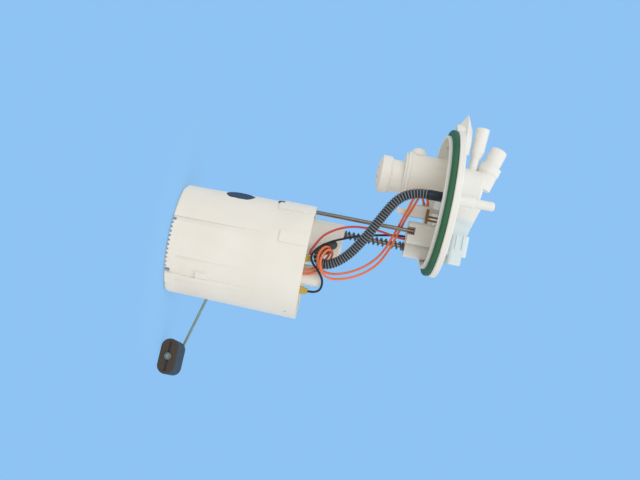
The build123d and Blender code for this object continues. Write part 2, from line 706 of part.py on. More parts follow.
# gaps in the foot: angle, width, height
foot_gaps = ((249.7, 3.2, 3.2), (302.7, 5.0, 4.6), (322.0, 1.8, 2.0))
with BuildPart() as reservoir_base:
    with BuildSketch(section_at(res_x, 0)) as base_profile:
        Polygon((0, res_floor_z - base_plate_t), (0, res_floor_z), (res_r_bottom, res_floor_z),
                (res_r_bottom, base_bottom), (res_r_bottom - base_wall, base_bottom),
                (res_r_bottom - base_wall, res_floor_z - base_plate_t), align=None)
        fillet(base_profile.vertices().group_by(Axis.Y)[0].sort_by(Axis.X)[-1:], 1.0)
    revolve(axis=upright(res_x, 0))
    # the shell's lobes run on down to a band round the foot
    for start, end, radius in lobes:
        with BuildSketch(wall_section(start)):
            Polygon((res_r_bottom - 1.5, foot_band_top), (radius, foot_band_top), (radius, res_floor_z),
                    (res_r_bottom - 1.5, res_floor_z), align=None)
        revolve(axis=upright(res_x, 0), revolution_arc=end - start)
    for start, end, radius in foot_bands:
        with BuildSketch(wall_section(start)):
            Polygon((res_r_bottom - 1.5, base_bottom), (radius - 1.0, base_bottom),
                    (radius, base_bottom + 1.0), (radius, foot_band_top),
                    (res_r_bottom - 1.5, foot_band_top), align=None)
        revolve(axis=upright(res_x, 0), revolution_arc=end - start)
    # radial feet under the plate
    with BuildSketch(level(res_x, 0, res_floor_z - base_plate_t)):
        with PolarLocations(0, 6, start_angle=30):
            with Locations((37, 0)):
                Rectangle(21, 2)
    extrude(amount=base_bottom + 2.5 - res_floor_z + base_plate_t)
    # toothed arcs and gaps that let fuel in under the rim
    with BuildSketch(level(res_x, 0, base_bottom)):
        for first_angle in tooth_arcs:
            with PolarLocations(res_r_bottom, 11, start_angle=first_angle, angular_range=44, endpoint=True):
                Rectangle(8, tooth_gap_w)
    extrude(amount=tooth_gap_h, mode=Mode.SUBTRACT)
    for gap_angle, gap_w, gap_h in foot_gaps:
        with BuildSketch(radial_plane(gap_angle, res_r_bottom - 4, base_bottom)):
            Rectangle(gap_w, 2 * gap_h)
        extrude(amount=8, mode=Mode.SUBTRACT)
    # holes closed by the foot valve
    with BuildSketch(level(pump_x, pump_y, res_floor_z)):
        Circle(1.3)
        with PolarLocations(4.6, 6):
            Circle(1.7)
    extrude(amount=-base_plate_t, mode=Mode.SUBTRACT)
reservoir_base.part.label = "reservoir_base"
export_step(reservoir_base.part, "parts/reservoir_base.step")

with BuildPart() as foot_valve:
    with BuildSketch(section_at(pump_x, pump_y)):
        Polygon((0, res_floor_z - base_plate_t - 1.8), (2.5, res_floor_z - base_plate_t - 1.8),
                (foot_valve_r, res_floor_z - base_plate_t - 0.8), (foot_valve_r, res_floor_z - base_plate_t),
                (1.25, res_floor_z - base_plate_t), (1.25, res_floor_z), (2.0, res_floor_z + 0.1),
                (0.6, res_floor_z + 2.4), (0, res_floor_z + 2.4), align=None)
    revolve(axis=upright(pump_x, pump_y))
foot_valve.part.label = "foot_valve"
export_step(foot_valve.part, "parts/foot_valve.step")

with BuildPart() as side_grommet:
    with BuildSketch(radial_plane(grommet_angle, grommet_seat, grommet_z)):
        Circle(grommet_r)
    extrude(amount=1.5)
    fillet(side_grommet.edges(), 0.6)
    with BuildSketch(radial_plane(grommet_angle, grommet_boss - 1.4, grommet_z)):
        Circle(grommet_hole_r - 0.2)
    extrude(amount=grommet_seat - grommet_boss + 1.6)
    with BuildSketch(radial_plane(grommet_angle, grommet_boss, grommet_z)):
        Circle(grommet_hole_r + 1.2)
    extrude(amount=-1.4)
side_grommet.part.label = "side_grommet"
export_step(side_grommet.part, "parts/side_grommet.step")

with BuildPart() as latch_clip:
    with BuildSketch(radial_plane(clip_angle, res_r_top - 4.2, clip_z)):
        RectangleRounded(clip_w - 0.6, clip_h - 0.6, 0.8)
    extrude(amount=3.8)
    with BuildSketch(radial_plane(clip_angle, res_r_top - 2.0, clip_z)):
        with GridLocations(3.6, 1, 2, 1):
            Rectangle(1.2, clip_h)
    extrude(amount=4, mode=Mode.SUBTRACT)
latch_clip.part.label = "latch_clip"
export_step(latch_clip.part, "parts/latch_clip.step")

# ---------------------------------------------------------------- carrier: plate, tower and rod guide
guide_end = rod_rear_end + 3.0 + clip_t + 0.2
plate_r = res_r_at(plate_top - plate_t) - res_wall - 0.4
plate_bottom = plate_top - plate_t
elbow_center = (55.9, -3.0, -89.5)
elbow_seat_y = 3.4
with BuildPart() as pump_carrier:
    with BuildSketch(level(res_x, 0, plate_bottom)):
        Circle(plate_r)
    extrude(amount=plate_t)
    with BuildSketch(level(rod_front_x, rod_front_y, plate_bottom)):
        Circle(tunnel_r + 0.4)
    extrude(amount=plate_t, mode=Mode.SUBTRACT)
    # fuel openings
    with BuildSketch(level(res_x, 0, plate_bottom)):
        with Locations((0, -38), (30, -27), (34, 24)):
            SlotOverall(18, 7)
    extrude(amount=plate_t, mode=Mode.SUBTRACT)
    # rim upstand and ribs
    with BuildSketch(level(res_x, 0, plate_top)):
        Circle(plate_r)
        Circle(plate_r - 1.4, mode=Mode.SUBTRACT)
        with Locations((rod_front_x - res_x, rod_front_y)):
            Circle(tunnel_r + 0.4, mode=Mode.SUBTRACT)
    extrude(amount=3)
    # tower over the rear rod, which also holds the outlet elbow
    with BuildSketch(level(rod_rear_x, rod_rear_y, plate_top)):
        Circle(tower_r)
        with Locations((tower_end_x - rod_rear_x, tower_end_y - rod_rear_y)):
            Circle(tower_r)
        make_hull()
    extrude(amount=tower_top - plate_top)
    fillet(pump_carrier.edges().group_by(Axis.Z)[-1], 3.0)
    with BuildSketch(Plane(origin=(elbow_center[0], elbow_seat_y, elbow_center[2]), x_dir=(1, 0, 0),
                           z_dir=(0, 1, 0))):
        Circle(4.4)
    extrude(amount=7)
    # guide sleeve under the plate
    with BuildSketch(level(rod_rear_x, rod_rear_y, plate_bottom)):
        Circle(guide_r)
    extrude(amount=guide_end - plate_bottom)
    with BuildSketch(level(rod_rear_x, rod_rear_y, tower_top)):
        Circle(rod_r + running_fit)
    extrude(amount=guide_end - tower_top, mode=Mode.SUBTRACT)
    # socket for the pump's outlet
    with BuildSketch(level(pump_x, pump_y, plate_bottom)):
        Circle(outlet_r + running_fit)
    extrude(amount=2.0, mode=Mode.SUBTRACT)
pump_carrier.part.label = "pump_carrier"
export_step(pump_carrier.part, "parts/pump_carrier.step")

hose_end = Vector(59.3, -6.0, -93.7)
hose_before_end = Vector(63.3, -9.5, -98.6)
nipple_axis = (hose_before_end - hose_end).normalized()
with BuildPart() as outlet_elbow:
    with BuildSketch(Plane(origin=(elbow_center[0], elbow_seat_y, elbow_center[2]), x_dir=(1, 0, 0),
                           z_dir=(0, -1, 0))):
        Circle(3.7)
    extrude(amount=elbow_seat_y - elbow_center[1])
    with Locations(elbow_center):
        Sphere(4.1)
    with BuildSketch(Plane(origin=elbow_center, z_dir=nipple_axis)):
        Circle(3.9)
    extrude(amount=(hose_end - Vector(*elbow_center)).length)
    with BuildSketch(Plane(origin=hose_end, z_dir=nipple_axis)):
        Circle(barb_r)
    extrude(amount=3.5)
outlet_elbow.part.label = "outlet_elbow"
export_step(outlet_elbow.part, "parts/outlet_elbow.step")

# ---------------------------------------------------------------- pressure regulator
can_r = 7.2
can_top = -99.0
with BuildPart() as regulator_cap:
    with BuildSketch(section_at(regulator_x, regulator_y)) as regulator_profile:
        Polygon((0, regulator_top), (regulator_r, regulator_top), (regulator_r, plate_top),
                (can_r + 0.3, plate_top), (can_r + 0.3, can_top + 0.5), (0, can_top + 0.5), align=None)
        fillet(regulator_profile.vertices().group_by(Axis.Y)[-1].sort_by(Axis.X)[-1:], 2.6)
    revolve(axis=upright(regulator_x, regulator_y))
regulator_cap.part.label = "regulator_cap"
export_step(regulator_cap.part, "parts/regulator_cap.step")

seat_z = plate_top + 3.0
with BuildPart() as regulator_can:
    with BuildSketch(section_at(regulator_x, regulator_y)):
        Polygon((1.6, plate_top), (can_r, plate_top), (can_r, can_top), (0, can_top), (0, can_top - 0.8),
                (can_r - 0.8, can_top - 0.8), (can_r - 0.8, seat_z), (1.6, seat_z), align=None)
    revolve(axis=upright(regulator_x, regulator_y))
regulator_can.part.label = "regulator_can"
export_step(regulator_can.part, "parts/regulator_can.step")

with BuildPart() as regulator_valve:
    with BuildSketch(section_at(regulator_x, regulator_y)):
        Polygon((0, seat_z + 0.05), (3.0, seat_z + 0.05), (3.0, seat_z + 1.5), (can_r - 1.2, seat_z + 1.5),
                (can_r - 1.2, seat_z + 2.5), (2.0, seat_z + 2.5), (2.0, seat_z + 4), (0, seat_z + 4),
                align=None)
    revolve(axis=upright(regulator_x, regulator_y))
regulator_valve.part.label = "regulator_valve"
export_step(regulator_valve.part, "parts/regulator_valve.step")

coil_spring("regulator_spring", (regulator_x, regulator_y, seat_z + 2.55), can_top - 0.85 - seat_z - 2.55,
            5, 3.4, 0.5)

# ---------------------------------------------------------------- pump
casing_inner_r = pump_r - pump_wall
inlet_t = 3.2
impeller_t = 3.6
impeller_bottom = pump_bottom + inlet_t + 0.15
impeller_top = impeller_bottom + impeller_t
bearing_plate_t = 3.4
armature_bottom = impeller_top + 0.15 + bearing_plate_t + 2.0
armature_top = armature_bottom + 36.0
commutator_h = 6.0
commutator_top = armature_top + commutator_h
end_cap_bottom = commutator_top + 0.5
armature_r = 12.6
magnet_gap = 0.5
outlet_top = plate_bottom + 1.5

with BuildPart() as pump_casing:
    with BuildSketch(section_at(pump_x, pump_y)):
        Polygon((casing_inner_r - 0.8, pump_bottom), (pump_r, pump_bottom), (pump_r, pump_top),
                (casing_inner_r - 0.8, pump_top), (casing_inner_r - 0.8, pump_top - pump_wall),
                (casing_inner_r, pump_top - pump_wall), (casing_inner_r, pump_bottom + pump_wall),
                (casing_inner_r - 0.8, pump_bottom + pump_wall), align=None)
    revolve(axis=upright(pump_x, pump_y))
pump_casing.part.label = "pump_casing"
export_step(pump_casing.part, "parts/pump_casing.step")

with BuildPart() as pump_inlet_cover:
    # lower half of the pumping chamber with its inlet neck
    with BuildSketch(section_at(pump_x, pump_y)):
        Polygon((shaft_r + 0.6, pump_bottom + 0.8), (casing_inner_r - 1.2, pump_bottom + 0.8),
                (casing_inner_r - 1.2, pump_bottom + pump_wall + 0.1),
                (casing_inner_r - 0.1, pump_bottom + pump_wall + 0.1),
                (casing_inner_r - 0.1, pump_bottom + inlet_t), (shaft_r + 0.6, pump_bottom + inlet_t),
                align=None)
    revolve(axis=upright(pump_x, pump_y))
    with BuildSketch(level(pump_x + 10, pump_y, pump_bottom + 0.8)):
        Circle(4.2)
    extrude(amount=-4.2)
    with BuildSketch(level(pump_x + 10, pump_y, pump_bottom + inlet_t)):
        Circle(3.0)
    extrude(amount=-inlet_t - 6, mode=Mode.SUBTRACT)
pump_inlet_cover.part.label = "pump_inlet_cover"
export_step(pump_inlet_cover.part, "parts/pump_inlet_cover.step")

with BuildPart() as impeller:
    with BuildSketch(level(pump_x, pump_y, impeller_bottom)):
        Circle(casing_inner_r - 3.0)
        Circle(shaft_r, mode=Mode.SUBTRACT)
        with PolarLocations(casing_inner_r - 5.2, 24):
            Rectangle(2.6, 1.5, mode=Mode.SUBTRACT)
    extrude(amount=impeller_t)
impeller.part.label = "impeller"
export_step(impeller.part, "parts/impeller.step")

with BuildPart() as pump_bearing_plate:
    # upper half of the pumping chamber, which carries the lower shaft bearing
    with BuildSketch(section_at(pump_x, pump_y)):
        Polygon((shaft_r + running_fit / 2, impeller_top + 0.15), (casing_inner_r - 2.4, impeller_top + 0.15),
                (casing_inner_r - 2.4, pump_bottom + inlet_t), (casing_inner_r - 0.1, pump_bottom + inlet_t),
                (casing_inner_r - 0.1, impeller_top + 0.15 + bearing_plate_t),
                (shaft_r + running_fit / 2, impeller_top + 0.15 + bearing_plate_t), align=None)
    revolve(axis=upright(pump_x, pump_y))
    with BuildSketch(level(pump_x - 10, pump_y, impeller_top)):
        Circle(2.5)
    extrude(amount=bearing_plate_t + 1, mode=Mode.SUBTRACT)
pump_bearing_plate.part.label = "pump_bearing_plate"
export_step(pump_bearing_plate.part, "parts/pump_bearing_plate.step")

with BuildPart() as pump_magnets:
    with BuildSketch(level(pump_x, pump_y, armature_bottom)):
        Circle(casing_inner_r - 0.1)
        Circle(armature_r + magnet_gap, mode=Mode.SUBTRACT)
        Rectangle(7, 2 * pump_r, mode=Mode.SUBTRACT)
    extrude(amount=armature_top - armature_bottom)
pump_magnets.part.label = "pump_magnets"
export_step(pump_magnets.part, "parts/pump_magnets.step")

with BuildPart() as armature:
    with BuildSketch(level(pump_x, pump_y, armature_bottom)):
        Circle(armature_r)
        Circle(shaft_r, mode=Mode.SUBTRACT)
        with PolarLocations(armature_r, 8):
            Rectangle(3.0, 1.6, mode=Mode.SUBTRACT)
    extrude(amount=armature_top - armature_bottom)
    with BuildSketch(level(pump_x, pump_y, armature_top)):
        Circle(5.5)
        Circle(shaft_r, mode=Mode.SUBTRACT)
        with PolarLocations(5.5, 8):
            Rectangle(1.6, 0.6, mode=Mode.SUBTRACT)
    extrude(amount=commutator_h)
armature.part.label = "armature"
export_step(armature.part, "parts/armature.step")

with BuildPart() as pump_shaft:
    with BuildSketch(level(pump_x, pump_y, impeller_bottom)):
        Circle(shaft_r)
    extrude(amount=end_cap_bottom + 4.0 - impeller_bottom)
pump_shaft.part.label = "pump_shaft"
export_step(pump_shaft.part, "parts/pump_shaft.step")

with BuildPart() as pump_end_cap:
    with BuildSketch(section_at(pump_x, pump_y)):
        Polygon((0, end_cap_bottom + 4.2), (shaft_r + running_fit / 2, end_cap_bottom + 4.2),
                (shaft_r + running_fit / 2, end_cap_bottom), (casing_inner_r - 0.1, end_cap_bottom),
                (casing_inner_r - 0.1, pump_top - pump_wall - 0.1),
                (casing_inner_r - 1.2, pump_top - pump_wall - 0.1), (casing_inner_r - 1.2, pump_top + 1.5),
                (outlet_r, pump_top + 1.5), (outlet_r, outlet_top), (valve_bore_r, outlet_top),
                (valve_bore_r, pump_top - 5), (0, pump_top - 5), align=None)
    revolve(axis=upright(pump_x, pump_y))
    # passage from the motor space to the valve's seat
    with BuildSketch(level(pump_x, pump_y + 7.4, end_cap_bottom)):
        Circle(1.5)
    extrude(amount=9.5, mode=Mode.SUBTRACT)
    with BuildSketch(facing_y(pump_x, pump_y, pump_top - 9.5)):
        Circle(1.4)
    extrude(amount=7.4, mode=Mode.SUBTRACT)
    with BuildSketch(level(pump_x, pump_y, pump_top - 9.5)):
        Circle(1.4)
    extrude(amount=6, mode=Mode.SUBTRACT)
    # supports that hold the cap against the carrier plate
    with BuildSketch(level(pump_x, pump_y, pump_top + 1.5)):
        with PolarLocations(12.5, 3, start_angle=90):
            Circle(2.2)
    extrude(amount=plate_bottom - pump_top - 1.5)
pump_end_cap.part.label = "pump_end_cap"
export_step(pump_end_cap.part, "parts/pump_end_cap.step")

with BuildPart() as pump_brushes:
    with BuildSketch(level(pump_x, pump_y, armature_top + 0.8)):
        with PolarLocations(5.5 + 0.3 + 2.4, 2):
            Rectangle(4.8, 4.0)
    extrude(amount=end_cap_bottom - armature_top - 0.8)
pump_brushes.part.label = "pump_brushes"
export_step(pump_brushes.part, "parts/pump_brushes.step")

check_seat_z = pump_top - 5
with BuildPart() as check_valve:
    with BuildSketch(section_at(pump_x, pump_y)):
        Polygon((0, check_seat_z + 0.05), (2.0, check_seat_z + 0.05),
                (valve_bore_r - 0.3, check_seat_z + 1.0),
                (valve_bore_r - 0.3, check_seat_z + 2.2), (1.0, check_seat_z + 2.2),
                (1.0, check_seat_z + 5.0), (0, check_seat_z + 5.0), align=None)
    revolve(axis=upright(pump_x, pump_y))
check_valve.part.label = "check_valve"
export_step(check_valve.part, "parts/check_valve.step")

check_stop_z = outlet_top - 1.5
with BuildPart() as check_valve_stop:
    with BuildSketch(level(pump_x, pump_y, check_stop_z)):
        Circle(valve_bore_r - 0.02)
        Circle(1.2, mode=Mode.SUBTRACT)
    extrude(amount=1.5)
check_valve_stop.part.label = "check_valve_stop"
export_step(check_valve_stop.part, "parts/check_valve_stop.step")

coil_spring("check_valve_spring", (pump_x, pump_y, check_seat_z + 2.25), check_stop_z - check_seat_z - 2.3,
            5, 1.9, 0.3)

# rubber ring between the pump and the filter, top and bottom
with BuildPart() as pump_isolator:
    for ring_z in (pump_bottom + 6, pump_top - 12):
        with BuildSketch(level(pump_x, pump_y, ring_z)):
            Circle(filter_bore_r - 0.1)
            Circle(pump_r + 0.1, mode=Mode.SUBTRACT)
        extrude(amount=5)
pump_isolator.part.label = "pump_isolator"
export_step(pump_isolator.part, "parts/pump_isolator.step")

# ---------------------------------------------------------------- filter, strainer and jet pump
with BuildPart() as filter_housing:
    with BuildSketch(level(pump_x, pump_y, filter_bottom)):
        Circle(filter_r)
        Circle(filter_bore_r, mode=Mode.SUBTRACT)
    extrude(amount=plate_bottom - filter_bottom)
    with BuildSketch(level(pump_x, pump_y, filter_bottom + filter_wall)):
        Circle(filter_r - filter_wall)
        Circle(filter_bore_r + 1.4, mode=Mode.SUBTRACT)
    extrude(amount=plate_bottom - filter_bottom, mode=Mode.SUBTRACT)
    # outer ribs
    with BuildSketch(level(pump_x, pump_y, filter_bottom)):
        with PolarLocations(filter_r + 0.5, 12, start_angle=15):
            Rectangle(1.8, 1.6)
    extrude(amount=plate_bottom - filter_bottom)
filter_housing.part.label = "filter_housing"
export_step(filter_housing.part, "parts/filter_housing.step")

pleat_in, pleat_out = filter_bore_r + 2.0, filter_r - filter_wall - 0.6
pleat_points = []
for index in range(2 * pleat_count):
    turn = radians(180 / pleat_count * index)
    reach = pleat_out if index % 2 else pleat_in + 1.5
    pleat_points.append((reach * cos(turn), reach * sin(turn)))
with BuildPart() as filter_element:
    with BuildSketch(level(pump_x, pump_y, filter_bottom + filter_wall + 0.1)):
        Polygon(*pleat_points, align=None)
        Circle(pleat_in, mode=Mode.SUBTRACT)
    extrude(amount=plate_bottom - filter_bottom - filter_wall - 6)
filter_element.part.label = "filter_element"
export_step(filter_element.part, "parts/filter_element.step")

with BuildPart() as inlet_strainer:
    with BuildSketch(level(pump_x, pump_y, cavity_floor)):
        SlotCenterToCenter(24, 34)
        with Locations((10, 0)):
            Circle(3.2, mode=Mode.SUBTRACT)
    extrude(amount=strainer_h)
    # room for the foot valve's head
    with BuildSketch(level(pump_x, pump_y, cavity_floor)):
        Circle(2.8)
    extrude(amount=1.0, mode=Mode.SUBTRACT)
inlet_strainer.part.label = "inlet_strainer"
export_step(inlet_strainer.part, "parts/inlet_strainer.step")

jet_x, jet_y = res_x - 27.5, -30.5
with BuildPart() as jet_pump:
    with BuildSketch(section_at(jet_x, jet_y)):
        Polygon((1.2, cavity_floor), (5.0, cavity_floor), (5.0, cavity_floor + 12), (3.2, cavity_floor + 16),
                (3.2, -150), (1.8, -150), (1.8, cavity_floor + 14), (1.2, cavity_floor + 10), align=None)
    revolve(axis=upright(jet_x, jet_y))
    with BuildSketch(Plane(origin=(jet_x, jet_y, cavity_floor + 5.2), x_dir=(0, 1, 0), z_dir=(1, 0, 0))):
        Circle(3.0)
    extrude(amount=8.5)
    with BuildSketch(Plane(origin=(jet_x, jet_y, cavity_floor + 5.2), x_dir=(0, 1, 0), z_dir=(1, 0, 0))):
        Circle(1.5)
    extrude(amount=9, mode=Mode.SUBTRACT)
jet_pump.part.label = "jet_pump"
export_step(jet_pump.part, "parts/jet_pump.step")

# ---------------------------------------------------------------- terminals on the carrier
power_terminals_at = ((102.0, 5.0, 12.7), (72.0, -7.0, 11.0))
with BuildPart() as power_terminals:
    for term_x, term_y, height in power_terminals_at:
        with BuildSketch(level(term_x, term_y, plate_top)):
            RectangleRounded(7.0, 6.0, 0.8)
        extrude(amount=height - 3)
        with BuildSketch(level(term_x, term_y, plate_top + height - 3)):
            RectangleRounded(5.4, 4.6, 0.8)
        extrude(amount=3)
power_terminals.part.label = "power_terminals"
export_step(power_terminals.part, "parts/power_terminals.step")

sender_socket_top = -112.5
with BuildPart() as sender_socket:
    with BuildSketch(level(84.7, -9.2, plate_top)):
        RectangleRounded(9.0, 7.0, 1.0)
    extrude(amount=sender_socket_top - plate_top)
sender_socket.part.label = "sender_socket"
export_step(sender_socket.part, "parts/sender_socket.step")

# ---------------------------------------------------------------- level sender
plate_y = sender_back_y + sender_plate_t
hub_y = plate_y + 1.2
card_y = plate_y + card_seat_t
arm_hub_r = 7.0


def facing_front(x, y, z):
    """Plane at a point that faces -Y, with its local x along +X and local y along +Z."""
    return Plane(origin=(x, y, z), x_dir=(1, 0, 0), z_dir=(0, -1, 0))


with BuildPart() as sender_body:
    # back plate on the reservoir's pad
    with BuildSketch(facing_front(sender_mid_x, sender_back_y, sender_mid_z)):
        RectangleRounded(sender_pad_w - 1, sender_pad_h - 2, 3)
    extrude(amount=-sender_plate_t)
    # frame walls on three sides, open where the arm leaves
    with BuildSketch(facing_front(sender_mid_x, plate_y, sender_mid_z)):
        RectangleRounded(sender_pad_w - 1, sender_pad_h - 2, 3)
        RectangleRounded(sender_pad_w - 4, sender_pad_h - 5, 2, mode=Mode.SUBTRACT)
        with Locations((8, -22)):
            Rectangle(26, 52, mode=Mode.SUBTRACT)
        with Locations((0, -26)):
            Rectangle(24, 14, mode=Mode.SUBTRACT)
    extrude(amount=-5.0)
    # pivot boss and pin
    with BuildSketch(facing_front(pivot_x, plate_y, pivot_z)):
        Circle(4.4)
    extrude(amount=plate_y - hub_y)
    with BuildSketch(facing_front(pivot_x, hub_y, pivot_z)):
        Circle(pivot_pin_r)
    extrude(amount=-4.4)
    # seat for the resistor card
    with BuildSketch(facing_front(pivot_x, plate_y, pivot_z + card_height)):
        Rectangle(23, 12)
    extrude(amount=-card_seat_t)
sender_body.part.label = "sender_body"
export_step(sender_body.part, "parts/sender_body.step")

with BuildPart() as resistor_card:
    with BuildSketch(facing_front(pivot_x, card_y, pivot_z + card_height)):
        RectangleRounded(22, 11, 0.8)
    extrude(amount=-card_t)
resistor_card.part.label = "resistor_card"
export_step(resistor_card.part, "parts/resistor_card.step")

arm_dir = Vector(arm_corner_x - pivot_x, 0, float_z - pivot_z).normalized()
arm_side_y = arm_y - arm_r
with BuildPart() as arm_holder:
    # hub on the pin, with a tail that grips the wire
    with BuildSketch(Plane(origin=(pivot_x, hub_y + 0.15, pivot_z), x_dir=arm_dir, z_dir=(0, 1, 0))):
        Circle(arm_hub_r)
        with Locations((9, 0)):
            Rectangle(18, 7)
        Circle(pivot_pin_r + running_fit / 2, mode=Mode.SUBTRACT)
    extrude(amount=arm_side_y - hub_y - 0.15)
    with BuildSketch(Plane(origin=(pivot_x, arm_side_y - 1.2, pivot_z), x_dir=arm_dir, z_dir=(0, 1, 0))):
        with Locations((11.5, 0)):
            Rectangle(13, 2 * arm_r + 2.6)
    extrude(amount=1.2 + arm_r)
    with BuildSketch(Plane(origin=(pivot_x, arm_side_y, pivot_z), x_dir=arm_dir, z_dir=(0, 1, 0))):
        with Locations((11.5, 0)):
            Rectangle(14, 2 * arm_r + 0.1)
    extrude(amount=2 * arm_r, mode=Mode.SUBTRACT)
arm_holder.part.label = "arm_holder"
export_step(arm_holder.part, "parts/arm_holder.step")

# spring finger whose contact slides over the card
finger_dir = Vector(sin(radians(wiper_tilt)), 0, cos(radians(wiper_tilt)))
with BuildPart() as wiper_contact:
    with BuildSketch(Plane(origin=(pivot_x, card_y + card_t + 0.35, pivot_z), x_dir=finger_dir,
                           z_dir=(0, 1, 0))):
        with Locations(((arm_hub_r + wiper_reach) / 2, 0)):
            Rectangle(wiper_reach - arm_hub_r, 2.0)
        with Locations((wiper_reach, 0)):
            Circle(1.8)
    extrude(amount=0.4)
wiper_contact.part.label = "wiper_contact"
export_step(wiper_contact.part, "parts/wiper_contact.step")

# the wire bends at its corner and carries the float on the last run
bend_r = 4.0
float_near = Vector(float_near_x, float_near_y, float_z)
arm_corner = Vector(arm_corner_x, arm_y, float_z)
float_axis = (arm_corner - float_near).normalized()
arm_start = Vector(pivot_x, arm_y, pivot_z) + arm_dir * 5.2
with BuildPart() as float_arm:
    with BuildLine() as arm_path:
        FilletPolyline(arm_start, arm_corner, float_near - float_axis * 2.6, radius=bend_r)
    with BuildSketch(Plane(origin=arm_start, z_dir=arm_dir)):
        Circle(arm_r)
    sweep(path=arm_path.line)
float_arm.part.label = "float_arm"
export_step(float_arm.part, "parts/float_arm.step")


def float_plane(along):
    """Plane square to the float's axis at a distance from its near end: local x is level."""
    return Plane(origin=float_near + float_axis * along, x_dir=(float_axis.Y, -float_axis.X, 0),
                 z_dir=float_axis)


with BuildPart() as float_block:
    with BuildSketch(float_plane(0)):
        RectangleRounded(float_w, float_t, float_t / 2 - 0.1)
    extrude(amount=float_long)
    end_faces = float_block.faces().filter_by(Axis(float_near, float_axis))
    fillet(end_faces.edges(), 1.2)
    # slot across the near end, and the arm's hole through the middle
    with BuildSketch(float_plane(0)):
        Rectangle(float_w - 6, float_slot_w)
    extrude(amount=1.2, mode=Mode.SUBTRACT)
    with BuildSketch(float_plane(-1)):
        Circle(arm_r + running_fit)
    extrude(amount=float_long + 2, mode=Mode.SUBTRACT)
float_block.part.label = "float_block"
export_step(float_block.part, "parts/float_block.step")

with BuildPart() as float_clip:
    for clip_from in (-1.3, float_long + 0.3):
        with BuildSketch(float_plane(clip_from)):
            Circle(3.3)
            Circle(arm_r, mode=Mode.SUBTRACT)
        extrude(amount=1.0)
float_clip.part.label = "float_clip"
export_step(float_clip.part, "parts/float_clip.step")

# ---------------------------------------------------------------- hose and wires
hose_route = [
    (-2.7, -40.0, -6.0), (-2.7, -40.0, -14.9), (-2.4, -40.0, -23.6), (-0.4, -39.5, -32.0),
    (3.9, -38.5, -39.7), (11.1, -37.0, -45.9), (24.0, -34.0, -52.8), (37.8, -31.0, -59.6),
    (50.8, -27.0, -66.9), (62.2, -23.0, -74.7), (70.2, -20.0, -83.5), (74.1, -17.5, -91.0),
    (74.0, -15.3, -97.4), (69.1, -13.0, -101.3), tuple(hose_before_end), tuple(hose_end)]
black_route = [
    (35.2, 20.4, -25.0), (35.2, 20.4, -31.5), (36.9, 19.4, -40.0), (39.0, 15.4, -50.5), (42.3, 10.5, -65.6),
    (47.0, 3.0, -77.7), (51.7, -8.0, -88.8), (57.3, -13.5, -98.2), (63.6, -16.0, -104.6),
    (69.3, -17.6, -106.9), (75.2, -16.4, -104.4), (81.2, -12.0, -97.7), (88.1, -7.5, -92.8),
    (95.1, -3.0, -92.2), (99.9, 1.6, -94.5), (102.0, 5.0, -99.6), (102.0, 5.0, -104.3)]
red_route = [
    (37.6, 17.4, -25.0), (37.6, 17.4, -30.2), (36.6, 17.0, -37.5), (35.3, 15.0, -45.5),
    (34.5, 11.4, -54.5),
    (34.7, 7.0, -65.5), (36.0, 1.5, -75.5), (39.0, -2.5, -84.2), (43.5, -5.8, -92.6),
    (49.0, -8.2, -99.6), (55.3, -9.2, -103.6), (61.3, -8.2, -106.6), (64.9, -7.0, -108.4),
    (power_terminals_at[1][0] - 3.5, -7.0, -108.4)]
cords = (("outlet_hose", hose_route, hose_d, hose_bore),
         ("sender_wire_a", sender_route_a, sender_wire_d, 0),
         ("sender_wire_b", sender_route_b, sender_wire_d, 0),
         ("pump_wire_black", black_route, pump_wire_d, 0),
         ("pump_wire_red", red_route, pump_wire_d, 0))

for cord_label, route, diameter, bore in cords:
    with BuildPart() as cord:
        with BuildLine() as cord_path:
            FilletPolyline(*route, radius=corner_radii(route))
        with BuildSketch(Plane(origin=cord_path.line @ 0, z_dir=cord_path.line % 0)) as cord_section:
            Circle(diameter / 2)
            if bore:
                Circle(bore / 2, mode=Mode.SUBTRACT)
        sweep(path=cord_path.line)
    report_cord(cord_label, route, diameter, cord.part, cord_path.wire().length, cord_section.sketch.area)
    cord.part.label = cord_label
    export_step(cord.part, "parts/%s.step" % cord_label)

with BuildPart() as hose_clamp:
    with BuildSketch(Plane(origin=hose_end + nipple_axis * 0.8, z_dir=nipple_axis)):
        Circle(hose_d / 2 + 0.9)
        Circle(hose_d / 2 + 0.1, mode=Mode.SUBTRACT)
    extrude(amount=2.2)
hose_clamp.part.label = "hose_clamp"
export_step(hose_clamp.part, "parts/hose_clamp.step")
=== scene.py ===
# %% [markdown]
# A fuel pump module hangs in a car's tank. A round flange closes the tank, a white reservoir slides
# on two steel rods under it, a spring presses the reservoir against the tank's floor, and a hose and
# four wires cross the gap. The solid parts arrive finished, in metres. This lesson gives them their
# finishes and draws what a mesh shows better: the corrugated hose, the wires and the wound springs.
# It also adds the upper half of the key on the flange's rim.
#
# The frame is loaded first.

# %% Load the solid parts
import math

import bmesh
import bpy
from mathutils import Matrix, Vector


